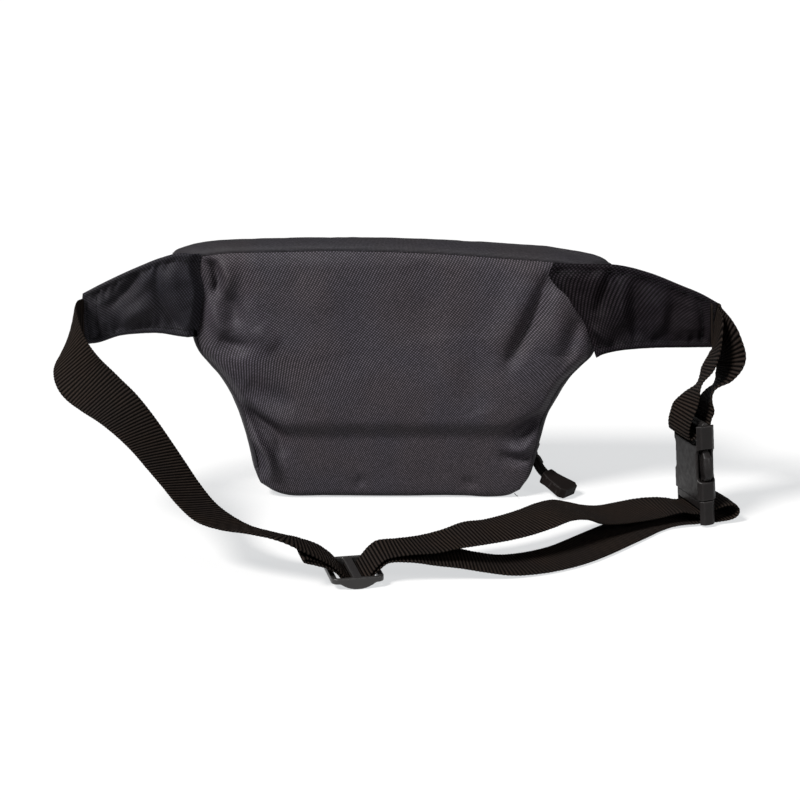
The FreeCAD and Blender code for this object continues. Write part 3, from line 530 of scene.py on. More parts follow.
def plastic(name, base, rough=0.42, grain=0.05, edge=1.7, gloss=0.36):
    """Moulded plastic: fine spark grain, paler along its edges, partly as rubbed wear and partly as painted
    highlight.
    """
    s = Shader(name, Roughness=rough, Specular_IOR_Level=gloss)
    # Painted highlight and wear: where Pointiness marks an edge, speckled patches are mixed towards edge
    # times the base colour.
    edge_wear_and_highlight = s.ramp(s.node("NewGeometry").outputs["Pointiness"], [(0.50, (0, 0, 0)), (0.58, (1, 1, 1))])
    scuff = s.math("MULTIPLY", edge_wear_and_highlight, s.speckle(2.2, 4.0))
    colour = s.mix(scuff, base, tuple(c * edge + 0.01 for c in base))
    colour = s.mix(1.0, colour, s.greys(s.speckle(9.0, 3.0), (0.3, 0.9), (0.7, 1.08)), "MULTIPLY")
    blotch = s.greys(s.speckle(3.0, 4.0), (0.3, rough - 0.08), (0.7, rough + 0.1))
    return s.out(Base_Color=colour, Roughness=blotch, Normal=s.bump(s.speckle(0.35, 2.0), grain, 0.5))


def coated_metal(name, base):
    s = Shader(name, Metallic=0.75, Roughness=0.36)
    scuff = s.ramp(s.speckle(1.6, 5.0), [(0.45, base), (0.75, tuple(c * 1.8 for c in base))])
    return s.out(Base_Color=scuff, Normal=s.bump(s.speckle(0.5, 2.0), 0.03, 0.4))


def braid(name, dark, light):
    s = Shader(name, Roughness=0.68, Specular_IOR_Level=0.1)
    plait = s.math("MAXIMUM", s.bands(1.1, 38), s.bands(1.1, -38))
    colour = s.mix(s.math("MULTIPLY", plait, s.speckle(0.7, 2.0)), dark, light)
    return s.out(Base_Color=colour, Normal=s.bump(plait, 0.12))


def floor_paint():
    s = Shader("studio_floor", Base_Color=(0.16, 0.155, 0.15, 1), Roughness=0.8, Specular_IOR_Level=0.05,
               Emission_Color=(0.97, 0.985, 1, 1), Emission_Strength=0.66)
    return s.material


SHELL = twill("shell_cloth", (0.0008, 0.0006, 0.0009), (0.070, 0.059, 0.070), 148)
SHELL_WING = twill("shell_cloth_wing", (0.0008, 0.0007, 0.0010), (0.033, 0.031, 0.038), 38, gloss=0.08)
# Painted shade: a darker copy of the wing cloth for the right wing, which is turned away from the key light.
SHELL_WING_PAINTED_SHADE = twill("shell_cloth_wing_painted_shade", (0.0004, 0.0003, 0.0004), (0.0165, 0.0132, 0.0160), 142,
                        gloss=0.03)
# Gusset cloth, darker than the panel cloth. This is partly its own colour and partly painted shade, so the
# upward-facing top strip, which catches more light, reads no brighter than the panel.
SHELL_EDGE = twill("shell_cloth_gusset", (0.002, 0.0018, 0.0022), (0.036, 0.032, 0.037), 90, pitch=0.9,
                   depth=0.1)
LINING = woven_tape("lining_cloth", (0.03, 0.03, 0.033), (0.08, 0.08, 0.085))
BINDING = woven_tape("binding_tape", (0.02, 0.02, 0.02), (0.06, 0.06, 0.06), 1.2, 0.15)
ZIP_TAPE = woven_tape("zip_tape", (0.006, 0.006, 0.007), (0.026, 0.025, 0.028), 0.8, 0.12)
ZIP_COIL = plastic("zip_coil", (0.012, 0.012, 0.013), 0.4, 0.02)
ZIP_METAL = coated_metal("zip_metal", (0.035, 0.035, 0.038))
WEBBING = webbing_cloth("webbing", (0.0010, 0.0007, 0.0006), (0.030, 0.0225, 0.0190))
THREAD = woven_tape("thread", (0.003, 0.003, 0.0033), (0.016, 0.0145, 0.017), 0.5, 0.05, gloss=0.04)
CORD = braid("pull_cord", (0.0012, 0.001, 0.001), (0.011, 0.0088, 0.008))
GRIP = plastic("pull_grip", (0.0030, 0.0019, 0.0016), 0.62, 0.08, edge=1.2, gloss=0.06)
# edge=3.0 paints bright highlights along the buckle's rounded edges, on top of their wear.
BUCKLE = plastic("buckle_plastic", (0.0046, 0.0038, 0.0037), 0.44, 0.05, edge=3.0, gloss=0.14)
GLIDE = plastic("slider_plastic", (0.0095, 0.0088, 0.0085), 0.36, 0.05)


# ================= camera, floor, light =================

def make_camera():
    rise = math.radians(CAMERA_RISE)
    target = Vector(CAMERA_TARGET) * MM
    away = Vector((0, -math.cos(rise), math.sin(rise)))
    data = bpy.data.cameras.new("camera")
    data.lens = CAMERA_LENS
    camera = link("camera", data)
    camera.location = target + away * CAMERA_DISTANCE * MM
    camera.rotation_euler = (math.pi / 2 - rise, 0, 0)
    bpy.context.scene.camera = camera


def area_light(name, at, target, size, power):
    """A disc of light that faces the target; places and size in metres."""
    data = bpy.data.lights.new(name, "AREA")
    data.shape = "DISK"
    data.size = size
    data.energy = power
    light = link(name, data)
    light.location = at
    light.rotation_euler = (Vector(target) - Vector(at)).to_track_quat("-Z", "Y").to_euler()


def sun(name, away, strength, spread):
    """A far, soft light that comes from the direction away."""
    data = bpy.data.lights.new(name, "SUN")
    data.energy = strength
    data.angle = math.radians(spread)
    light = link(name, data)
    light.rotation_euler = Vector(away).to_track_quat("Z", "Y").to_euler()


def make_studio():
    half = 9000.0
    corners = [(-half, -half, 0), (half, -half, 0), (half, half, 0), (-half, half, 0)]
    mesh_piece("studio_floor", corners, [(0, 1, 2, 3)], floor_paint())
    world = bpy.data.worlds.new("studio")
    world.use_nodes = True
    world.node_tree.nodes["Background"].inputs[0].default_value = (1, 1, 1, 1)
    world.node_tree.nodes["Background"].inputs[1].default_value = 0.3
    bpy.context.scene.world = world
    bpy.context.scene.view_settings.view_transform = "Standard"
    sun("key", (-0.52, -0.50, 0.76), 9.0, 16)
    area_light("softbox_right", (1.1, -1.0, 0.7), (0.15, 0, 0.06), 0.35, 9)


# ================= pack body =================

def front_y(z):
    start, slope = FRONT_SLOPE
    return start - slope * z


def sides(outline, nx=NX, nz=NZ):
    """The outline's four sides as even steps: bottom and top along +X, left and right upwards."""
    return {side: resample(curve_through(points, 2), (nx if side in ("bottom", "top") else nz) + 1, 2)
            for side, points in outline.items()}


def ring_of(outline):
    """The outline as one closed ring: along the bottom, up the right, back along the top, down the left."""
    s = sides(outline)
    return np.vstack([s["bottom"][:-1], s["right"][:-1], s["top"][:0:-1], s["left"][:0:-1]])


def patch(outline, **counts):
    """Grid of (x, z) that fills the outline, rows upwards, by blending its four sides."""
    s = sides(outline, **counts)
    a = np.linspace(0, 1, len(s["bottom"]))[None, :, None]
    b = np.linspace(0, 1, len(s["left"]))[:, None, None]
    low, high, left, right = s["bottom"][None], s["top"][None], s["left"][:, None], s["right"][:, None]
    corners = (lerp(low[:, :1], low[:, -1:], a) * (1 - b) + lerp(high[:, :1], high[:, -1:], a) * b)
    return lerp(low, high, b) + lerp(left, right, a) - corners


def fold_height(xz, folds):
    """Sum of the folds' smooth ridges and valleys at each (x, z)."""
    total = np.zeros(xz.shape[:-1])
    for points, width, height in folds:
        line = curve_through(points, 2, 10)
        nearest = np.full(total.shape, 1e9)
        along = np.zeros(total.shape)
        for k, (a, b) in enumerate(zip(line, line[1:])):
            d = b - a
            t = np.clip(((xz - a) @ d) / max(d @ d, 1e-9), 0, 1)
            gap = np.linalg.norm(xz - a - t[..., None] * d, axis=-1)
            closer = gap < nearest
            nearest = np.where(closer, gap, nearest)
            along = np.where(closer, (k + t) / (len(line) - 1), along)
        fade = np.sin(math.pi * np.clip(along, 0.0, 1.0)) ** 0.6 * 0.8 + 0.2
        total += height * np.exp(-((nearest / width) ** 2)) * fade
    return total


def edge_distance(rows, cols, height, width):
    """Distance in millimetres of each grid point from the nearest edge of the patch."""
    b = np.linspace(0, 1, rows)[:, None] * height
    a = np.linspace(0, 1, cols)[None, :] * width
    return np.minimum(np.minimum(a, width - a), np.minimum(b, height - b))


def panel(name, outline, y_of, relief, material, crown, width=190, height=150):
    """A sewn panel: crowned between its seams, which it turns down into. relief adds its folds.
    Its outer side looks along -Y where crown is negative and along +Y where it is positive."""
    xz = patch(outline)
    gap = edge_distance(xz.shape[0], xz.shape[1], height, width)
    out = 1.0 if crown > 0 else -1.0
    lift = abs(crown) * (1 - np.exp(-gap / 22.0)) + relief(xz) * smoothstep(0, 9, gap)
    lift -= 1.6 * np.exp(-((gap / 1.6) ** 2))
    points = np.stack([xz[..., 0], y_of(xz[..., 1]) + out * lift, xz[..., 1]], -1)
    points[..., 1] += out * 0.35 * ripple(points, 16.0, 1) + out * 0.12 * ripple(points, 5.0, 2)
    points = points if crown < 0 else points[:, ::-1]
    return lattice(name, points, material, u=points[points.shape[0] // 2, :, 0],
                   v=points[:, points.shape[1] // 2, 2])


class Gusset:
    """The strip round the pack from the back seam, over the zip, to the front seam."""

    BACK_STEPS, ZIP_STEPS, FRONT_STEPS = 14, 6, 12

    def __init__(self, inset=0.0):
        outlines = (BACK_OUTLINE, ZIP_OUTLINE, FRONT_OUTLINE)
        back, middle, front = (self.inset(ring_of(outline), inset) for outline in outlines)
        tilt = 3.6 * smoothstep(118, 150, middle[:, 1])
        middle_front = middle - np.stack([0 * tilt, tilt], 1)
        middle_back = middle - np.stack([0 * tilt, 0.4 * tilt], 1)
        self.crown = 2.0 + 2.6 * smoothstep(110, 150, middle[:, 1]) - 1.8 * smoothstep(12, 2, middle[:, 1])
        at_back = self.lift(back, np.full(len(back), Y_SEAM_BACK + inset))
        at_zip_back = self.lift(middle_back, np.full(len(back), Y_ZIP_BACK))
        at_zip_front = self.lift(middle_front, np.full(len(back), Y_ZIP_FRONT))
        at_front = self.lift(front, front_y(front[:, 1]) - inset)
        self.back = self.strip(at_back, at_zip_back, self.BACK_STEPS, self.crown)
        self.zip = self.strip(at_zip_back, at_zip_front, self.ZIP_STEPS, 0 * self.crown, groove=0.0)
        self.front = self.strip(at_zip_front, at_front, self.FRONT_STEPS, self.crown * 0.8)
        self.whole = np.concatenate([self.back[:-1], self.zip[:-1], self.front])

    @staticmethod
    def inset(ring, distance):
        tangent = ring_tangents(ring)
        return ring + np.stack([-tangent[:, 1], tangent[:, 0]], 1) * distance

    @staticmethod
    def lift(ring, y):
        return np.stack([ring[:, 0], y, ring[:, 1]], 1)

    @staticmethod
    def strip(near, far, steps, crown, groove=1.3):
        """Rows from one ring to the next, bulging outwards between them and tucked in at both seams."""
        outward = ring_normals(near)
        rows = []
        for share in np.linspace(0, 1, steps + 1):
            at_start, at_end = (math.exp(-((gap * steps / 0.7) ** 2)) for gap in (share, 1 - share))
            tuck = groove * (at_start + 0.6 * at_end)
            bulge = crown * math.sin(math.pi * share) ** 0.8 - tuck
            rows.append(lerp(near, far, share) + outward * bulge[:, None])
        rows = np.array(rows)
        rough = 0.5 * ripple(rows, 18.0, 3) + 0.18 * ripple(rows, 6.0, 4)
        swell = np.sin(math.pi * np.linspace(0, 1, steps + 1))[:, None] * (groove > 0)
        rows += outward[None] * (rough * swell)[..., None]
        rows[..., 2] = np.maximum(rows[..., 2], 0.25)
        return rows

    def split(self, height):
        """Ring columns that lie above and below the height, each as one run of indices."""
        low = self.zip[0][:, 2] < height
        count = len(low)
        start = next(k for k in range(count) if low[k] and not low[k - 1])
        run = [(start + k) % count for k in range(count)]
        below = [k for k in run if low[k]]
        above = [k for k in run if not low[k]]
        return [below[-1]] + above + [below[0]], below


def back_relief(xz):
    """Folds of the back panel: its padded upper part hangs a few millimetres proud of the lower."""
    x = xz[..., 0]
    waist = 43.0 + 14 * smoothstep(-68, -94, x) + 6 * smoothstep(58, 86, x)
    over = xz[..., 1] - waist
    lip = 5.6 + 1.0 * smoothstep(30, 85, np.abs(x))
    lip = lip * smoothstep(-4.0, 8.5, over) * (1 - 0.8 * smoothstep(12, 75, over))
    return 2.1 * fold_height(xz, BACK_FOLDS) + lip


def make_body():
    gusset = Gusset()
    above, below = gusset.split(Z_BOTTOM_PANEL)
    pieces = {
        "gusset_back": (gusset.back[:, above], SHELL_EDGE, ["gusset_back_strip"], "shell_cloth"),
        "zip_tape_main": (gusset.zip[:, above], ZIP_TAPE, ["main_zipper_tape"], "zip_tape"),
        "gusset_front": (gusset.front[:, above], SHELL_EDGE, ["gusset_front_strip"], "shell_cloth"),
        "bottom": (gusset.whole[:, below], SHELL_EDGE, ["bottom_panel"], "shell_cloth"),
    }
    for name, (points, material, nodes, slot) in pieces.items():
        obj = thicken(lattice(name, points[:, ::-1], material), 0.9)
        dress(obj, "pack", slot, *nodes)
    back = thicken(panel("back_cushion", BACK_OUTLINE, lambda z: Y_SEAM_BACK + 0 * z,
                         back_relief, SHELL, -5.5), 3.0)
    dress(back, "pack", "shell_cloth", "back_panel", "back_foam")
    front = thicken(panel("front_cloth", FRONT_OUTLINE, front_y, lambda xz: 0 * xz[..., 0], SHELL, 1.0), 0.9)
    dress(front, "pack", "shell_cloth", "front_panel")
    return gusset


def make_inner_bag():
    """Lining and the bindings over the seam allowances, inside the closed pack."""
    inner = Gusset(1.6)
    coil_gap = len(inner.back) + inner.ZIP_STEPS // 2
    parts = [inner.whole[:coil_gap - 2], inner.whole[coil_gap:]]
    lining = [lattice(f"lining_{side}", points[:, ::-1], LINING, wrap=True)
              for side, points in zip(("back", "front"), parts)]
    for obj, nodes in zip(lining, (["lining"], [])):
        dress(thicken(obj, 0.4), "pack", "lining_cloth", *nodes)
    for name, row, node in (("binding_back", inner.back[2], "back_seam_binding"),
                            ("binding_front", inner.front[-3], "front_seam_binding")):
        centre = row.mean(0)
        ring = centre + (row - centre) * 0.965
        band = np.stack([ring + (0, dy, 0) for dy in (-3.0, -1.0, 1.0, 3.0)], 0)
        dress(thicken(lattice(name, band, BINDING, wrap=True), 1.0), "pack", "binding_tape", node)


# ================= belt wings =================

def wing_middle(x):
    """Depth of a wing's middle plane at x: level over the pack, then yawed back to the wearer."""
    return WING_ROOT[1] - np.maximum(np.abs(x) - WING_ROOT[0], 0) * math.tan(math.radians(WING_YAW))


def wing_point(u, z, offset, side):
    """u outwards from the root, z up, offset from the middle plane away from the wearer."""
    yaw = math.radians(-WING_YAW)
    x = WING_ROOT[0] + u * math.cos(yaw) - offset * math.sin(yaw)
    return np.array([side * x, WING_ROOT[1] + u * math.sin(yaw) + offset * math.cos(yaw), z])


def make_wing(name, outline, folds, side, material):
    """Padded wing: two cloths sewn together over foam, with a stitched channel along its edges."""
    xz = patch(outline, **WING_GRID)
    rows, cols = xz.shape[:2]
    height = np.linalg.norm(xz[-1] - xz[0], axis=-1)[None] * np.ones((rows, 1))
    b = np.linspace(0, 1, rows)[:, None]
    edge = np.minimum(b, 1 - b) * height
    length, width = WING_CLOTH
    tip = (1 - np.linspace(0, 1, cols))[None] * length
    root = np.linspace(0, 1, cols)[None] * length
    gap = np.minimum(edge, tip * np.ones_like(edge))
    fill = 0.55 + 2.1 * smoothstep(STITCH_INSET, 16, gap) + 0.75 * np.exp(-(((gap - 1.6) / 1.6) ** 2))
    fill *= np.sqrt(np.clip(gap / 0.9, 0.02, 1))
    flat_at_tip = smoothstep(15, 24, tip)
    fill = np.where(gap > STITCH_INSET, lerp(np.minimum(fill, 1.9), fill, flat_at_tip), fill)
    fill = lerp(1.6, fill, smoothstep(0, 4, root)) * np.ones_like(gap)
    wander = 2.0 * np.sin(root * 0.21 + b)
    pucker = 0.42 * np.sin(root * 0.75 + wander) * np.exp(-(((gap - 5.5) / 4.5) ** 2))
    relief = 1.5 * fold_height(xz, folds) * smoothstep(1.5, 8, gap) + 1.5 * pucker * smoothstep(2, 5, gap)
    middle = wing_middle(xz[..., 0])
    if side < 0:
        middle = middle + 6.5 * smoothstep(6, 0.5, root) * np.ones_like(gap)
    base = np.stack([xz[..., 0], middle, xz[..., 1]], -1)
    rough = (1.4 * ripple(base, 13.0, 5 + side) + 0.3 * ripple(base, 4.5, 9)) * smoothstep(3, 9, gap)
    back = base - np.stack([0 * fill, fill + relief + rough, 0 * fill], -1)
    front = base + np.stack([0 * fill, fill - 0.7 * relief - 0.8 * rough, 0 * fill], -1)
    loops = np.concatenate([back, front[::-1]], 0)
    u = np.linspace(0, length, cols)
    v = np.linspace(0, width, rows)
    points = loops if side > 0 else loops[:, ::-1]
    wing = lattice(name, points, material, u=u, v=np.concatenate([v, v + width]))
    close_shell(wing)
    return wing


def close_shell(obj):
    """Joins the open borders of a pillow-shaped grid, so that it's one closed skin."""
    data = bmesh.new()
    data.from_mesh(obj.data)
    bmesh.ops.remove_doubles(data, verts=data.verts, dist=0.35 * MM)
    loose = [e for e in data.edges if e.is_boundary]
    if loose:
        bmesh.ops.holes_fill(data, edges=loose, sides=0)
    bmesh.ops.recalc_face_normals(data, faces=data.faces)
    data.to_mesh(obj.data)
    data.free()
    obj.data.shade_smooth()


def capsules(name, starts, ends, normals, radius, arch, material):
    """Many short rounded strands, each arched along its normal, in one mesh."""
    rings, around = 6, 6
    size = rings * around
    starts, ends, normals = (np.asarray(a, float)[:, None, None] for a in (starts, ends, normals))
    t = np.linspace(0, 1, rings)[None, :, None, None]
    turn = np.linspace(0, 2 * math.pi, around, endpoint=False)[None, None, :, None]
    along = unit(ends - starts)
    side = unit(np.cross(along, normals))
    up = np.cross(side, along)
    swell = np.sqrt(np.clip(1 - (2 * t - 1) ** 4, 0.02, 1)) * radius
    centre = lerp(starts, ends, t) + up * (arch * np.sin(math.pi * t))
    points = centre + (side * np.cos(turn) + up * np.sin(turn)) * swell
    count = len(points)
    i, j = np.meshgrid(np.arange(rings - 1), np.arange(around), indexing="ij")
    k = (j + 1) % around
    corners = [i * around + j, i * around + k, (i + 1) * around + k, (i + 1) * around + j]
    quad = np.stack(corners, -1).reshape(-1, 4)
    faces = (quad[None] + np.arange(count)[:, None, None] * size).reshape(-1, 4).tolist()
    for first in range(0, count * size, size):
        last = first + size - around
        faces += [list(range(first, first + around))[::-1], list(range(last, last + around))]
    return mesh_piece(name, points.reshape(-1, 3), faces, material)


def stitch_line(path, tree, out):
    """Starts, ends and normals of stitches that follow the path on a surface; out picks its side."""
    pitch = STITCH_LENGTH + STITCH_GAP
    count = int(arc_lengths(np.asarray(path, float))[-1] / pitch) + 1
    points = resample(curve_through(path), count, 3)
    share = STITCH_LENGTH / pitch
    placed = []
    for a, b in zip(points, points[1:]):
        ends = []
        for p in (a, lerp(a, b, share)):
            hit, normal, _, _ = tree.ray_cast(Vector((p + np.asarray(out) * 12) * MM), -Vector(out))
            if hit is None:
                break
            ends.append((np.array(hit) / MM, np.array(normal)))
        if len(ends) == 2:
            normal = ends[0][1] if np.dot(ends[0][1], out) > 0 else -ends[0][1]
            sink = normal * STITCH_SINK
            placed.append((ends[0][0] - sink, ends[1][0] - sink, normal))
    return placed


def wing_stitching(name, wing, outline):
    """Topstitching round the wing's sewn edges, and the lines that hold the webbing in its tip."""
    tree = surface_tree(wing)
    xz = patch(outline, **WING_GRID)
    rows, cols = xz.shape[:2]
    low = int(rows * STITCH_INSET / WING_CLOTH[1])
    high = rows - 1 - low
    inner = slice(3, int(cols * 0.95))
    tips = [int(cols * 0.95), int(cols * 0.86)]
    paths = [xz[low, inner], xz[high, inner]] + [xz[low:high, column] for column in tips]
    lines = []
    for path in paths:
        spine = np.stack([path[:, 0], wing_middle(path[:, 0]), path[:, 1]], 1)[::4]
        for out in ((0, -1, 0), (0, 1, 0)):
            lines.append(stitch_line(spine, tree, np.array(out, float)))
    starts, ends, normals = (np.array(column) for column in zip(*[s for line in lines for s in line]))
    obj = capsules(name, starts, ends, normals, STITCH_RADIUS, 0.22, THREAD)
    dress(obj, "pack", "thread", f"{name.split('_')[0]}_wing_tip_stitches")


def make_wings():
    """Each outline is walked from the wing's root to its tip."""
    for side, word, outline, folds, material in (
            (-1, "left", LEFT_WING, LEFT_WING_FOLDS, SHELL_WING),
            # The right wing takes the darker copy of the wing cloth, which is painted shade.
            (1, "right", RIGHT_WING, RIGHT_WING_FOLDS, SHELL_WING_PAINTED_SHADE)):
        wing = make_wing(f"{word}_wing", outline, folds, side, material)
        dress(wing, "pack", "shell_cloth", *(f"{word}_wing_{layer}" for layer in ("back", "front", "foam")))
        wing_stitching(f"{word}_wing_stitching", wing, outline)


def make_loose_threads():
    """Two stray thread ends: under the right wing's tip and at the pack's lower corner."""
    tail = curve_through([(184.2, -53.6, 98.4), (183.4, -54.4, 95.0), (181.6, -54.6, 91.5),
                          (181.9, -54.2, 88.8)])
    nub = curve_through([(69.5, -38.6, 3.6), (70.6, -39.4, 2.4), (71.6, -39.6, 2.0)])
    steps = [resample(line, count, 3) for line, count in ((tail, 9), (nub, 5))]
    starts, ends = (np.vstack([step[part] for step in steps]) for part in (slice(None, -1), slice(1, None)))
    ends = ends + 0.15 * unit(ends - starts)
    normals = np.tile((1.0, 0.3, 0.0), (len(starts), 1))
    obj = capsules("loose_threads", starts, ends, normals, 0.22, 0.0, THREAD)
    dress(obj, "pack", "thread")


# ================= webbing =================

def glide_point(x, z):
    yaw = math.radians(GLIDE_YAW)
    return np.array(GLIDE_AT) + (x * math.cos(yaw), x * math.sin(yaw), z)


def buckle_axes():
    """The buckle's across, through and up directions."""
    yaw, lean = math.radians(BUCKLE_YAW), math.radians(BUCKLE_LEAN)
    tip = np.array([[math.cos(lean), 0, math.sin(lean)], [0, 1, 0], [-math.sin(lean), 0, math.cos(lean)]])
    turned = np.array([[math.cos(yaw), -math.sin(yaw), 0], [math.sin(yaw), math.cos(yaw), 0], [0, 0, 1]])
    return (tip @ turned).T


def buckle_point(x, y, z):
    return np.array(BUCKLE_AT) + np.array([x, y, z]) @ buckle_axes()


def band_rows(sections):
    """Dense rows (centre, across, section) of one band that runs through all the sections."""
    rows, previous = [], None
    for number, stations in enumerate(sections):
        for centre, across in stations:
            across = np.asarray(across, float)
            if previous is not None and across @ previous < 0:
                across = -across
            previous = across
            rows.append([*centre, *across, number])
    dense = curve_through(rows)
    count = int(arc_lengths(dense[:, :3])[-1] / ROW_STEP) + 1
    return resample(dense, count, 3)


def band_grid(rows):
    """Ribbed cross-sections: the face towards +normal, then the face towards -normal."""
    centre = rows[:, :3]
    tangent = unit(np.gradient(centre, axis=0))
    across = rows[:, 3:6] - tangent * (rows[:, 3:6] * tangent).sum(1, keepdims=True)
    across = unit(across)
    normal = np.cross(tangent, across)
    s = arc_lengths(centre)[:, None]
    w = np.array([-share for share in BAND_SHARES[:0:-1]] + BAND_SHARES)[None]
    rib = np.abs(np.sin(math.pi * s / RIB_PITCH)) ** 0.7
    edge = np.clip(1 - np.abs(w) ** 10, 0, 1) ** 0.5
    wander = 0.05 * np.sin(s * 0.9 + w * 5) + 0.04 * np.sin(s * 2.3 - w * 9)
    half = (WEB_HALF - 0.38 + 0.42 * rib + wander * rib) * (0.28 + 0.72 * edge)
    end_gap = np.minimum(s, s[-1] - s)
    pinch = 1 - 0.14 * smoothstep(16, 4, end_gap)
    spread = pinch * WEB_WIDTH / 2 * (1 - 0.012 * (1 - rib) * np.abs(w) ** 8)
    cup = 0.35 * (w ** 2 - 0.3) * np.sin(s * 0.045)
    flat = centre[:, None] + across[:, None] * (w * spread)[..., None]
    face, back = (flat + normal[:, None] * (cup + sign * half)[..., None] for sign in (1, -1))
    grid = np.concatenate([face, back[:, ::-1]], 1)
    u = np.concatenate([w[0] * WEB_WIDTH / 2, w[0] * WEB_WIDTH / 2 + WEB_WIDTH + 1, [WEB_WIDTH * 2]])
    return grid, u, s[:, 0]


def cut_band(sections, pieces):
    """One long band cut into the pieces that ride on different bodies."""
    rows = band_rows(sections)
    grid, u, v = band_grid(rows)
    made = {}
    for number, name in enumerate(pieces):
        inside = np.flatnonzero(np.abs(rows[:, 6] - number) <= 0.5)
        first, last = inside[0], min(inside[-1] + 1, len(rows) - 1)
        part = slice(first, last + 1)
        made[name] = lattice(name, grid[part], WEBBING, wrap=True, u=u, v=v[part], caps=True)
    return made


def slider_rows(path):
    yaw = math.radians(GLIDE_YAW)
    return [(glide_point(x, z), (math.sin(yaw), -math.cos(yaw), 0)) for x, z in path]


def buckle_rows(path):
    return [(buckle_point(0, y, z), buckle_axes()[0]) for y, z in path]


def wing_rows(side, offset):
    height = 114.5 if side < 0 else 111.5
    return [(wing_point(u, height, offset, side), (0, 0, 1)) for u in (70.5, 73)]


def make_belt():
    """The long strap: wing, slider, outer run, round the male half's bar, inner run, slider, tail."""
    belt = cut_band([
        wing_rows(-1, 0) + LEFT_STRAP,
        slider_rows(SLIDER_PATH),
        OUTER_RUN,
        buckle_rows(BUCKLE_LOOP),
        INNER_RUN[::-1],
        slider_rows(TAIL_PATH[::-1] + TAIL_HEM),
    ], ["strap_left", "strap_in_slider", "strap_outer", "strap_loop", "strap_inner", "strap_tail"])
    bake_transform(belt["strap_left"])
    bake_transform(belt["strap_outer"])
    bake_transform(belt["strap_inner"])
    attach(belt["strap_in_slider"], "belt_slider")
    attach(belt["strap_tail"], "belt_slider")
    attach(belt["strap_loop"], "pack")
    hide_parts("left_strap")
    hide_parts("belt_through_slider")
    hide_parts("belt_outer_run")
    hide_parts("belt_inner_run")
    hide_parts("belt_buckle_loop")
    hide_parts("belt_tail", "belt_tail_hem")


def make_short_strap():
    """The short strap: down from the wing, round the female half's bar, and back up."""
    strap = cut_band([
        wing_rows(1, -0.85) + NEAR_STRAP,
        buckle_rows(FEMALE_WRAP),
        FAR_STRAP[::-1] + wing_rows(1, 0.85)[::-1],
    ], ["strap_near", "strap_wrap", "strap_far"])
    for name, node in (("strap_near", "right_strap_near"), ("strap_far", "right_strap_far")):
        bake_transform(strap[name])
        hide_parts(node)
    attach(strap["strap_wrap"], "buckle_female_half")
    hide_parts("right_strap_wrap")


# ================= buckle and slider =================

def finished(obj):
    """Applies the piece's modifiers."""
    shape = obj.evaluated_get(bpy.context.evaluated_depsgraph_get())
    mesh = bpy.data.meshes.new_from_object(shape)
    obj.modifiers.clear()
    obj.data = mesh
    return obj


def moulded(name, node, material, body, slot, voxel=0.4, rounds=3, sculpt=None):
    """A moulded part: the CAD solid's shape with its edges rounded over, then sculpted."""
    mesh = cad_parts[node].data.copy()
    data = bmesh.new()
    data.from_mesh(mesh)
    bmesh.ops.remove_doubles(data, verts=data.verts, dist=0.002 * MM)
    data.to_mesh(mesh)
    data.free()
    mesh.materials.clear()
    mesh.materials.append(material)
    obj = link(name, mesh)
    grain = obj.modifiers.new("voxels", "REMESH")
    grain.mode = "VOXEL"
    grain.voxel_size = voxel * MM
    soften = obj.modifiers.new("soften", "SMOOTH")
    soften.factor = 0.5
    soften.iterations = rounds
    finished(obj)
    if sculpt is not None:
        points = np.array([v.co for v in obj.data.vertices]) / MM
        obj.data.vertices.foreach_set("co", (sculpt(points) * MM).ravel())
    obj.data.shade_smooth()
    return dress(obj, body, slot, node)


def thumb_pad(points):
    """Rounds a latch arm's free end into the oval pad that stands proud of the window."""
    local = (points - BUCKLE_AT) @ buckle_axes().T
    x, y, z = local.T
    pad = smoothstep(25, 29.5, z)
    share = np.clip((z - 36.2) / 10.5, -1, 1)
    y = y * lerp(1.0, 0.82 * np.sqrt(1.05 - share ** 2), pad)
    dome = pad * (1 - share ** 2) * (1 - np.clip(y / 3.2, -1, 1) ** 2)
    x = x + np.sign(x) * 1.5 * dome * smoothstep(14, 19, np.abs(x))
    return np.array(BUCKLE_AT) + np.stack([x, y, z], 1) @ buckle_axes()


def make_hardware():
    moulded("three_bar_glide", "three_bar_slider", GLIDE, "belt_slider", "slider_plastic", 0.4, 4)
    moulded("female_half", "buckle_female", BUCKLE, "buckle_female_half", "buckle_plastic", 0.4, 4)
    moulded("male_half", "buckle_male", BUCKLE, "pack", "buckle_plastic", 0.4, 4)
    moulded("arm_near", "latch_arm_near", BUCKLE, "buckle_arm_near", "buckle_plastic", 0.35, 5, thumb_pad)
    moulded("arm_far", "latch_arm_far", BUCKLE, "buckle_arm_far", "buckle_plastic", 0.35, 5, thumb_pad)


# ================= zips and pulls =================

def coil(name, centre, outward, node):
    """Both rows of a zip's coil, interlocked along the centre line."""
    count = int(arc_lengths(centre)[-1] / COIL_PITCH)
    rows = resample(np.hstack([centre, outward]), 2 * count, 3)
    middle, normal = rows[:, :3], unit(rows[:, 3:])
    side = np.cross(unit(np.gradient(middle, axis=0)), normal)
    hand = np.where(np.arange(len(rows)) % 2, 1, -1)[:, None]
    lift = normal * 0.35
    obj = capsules(name, middle + side * hand * 2.3 + lift, middle - side * hand * 0.75 + lift, normal,
                   0.42, 0.5, ZIP_COIL)
    return dress(obj, "pack", "zip_coil", node)


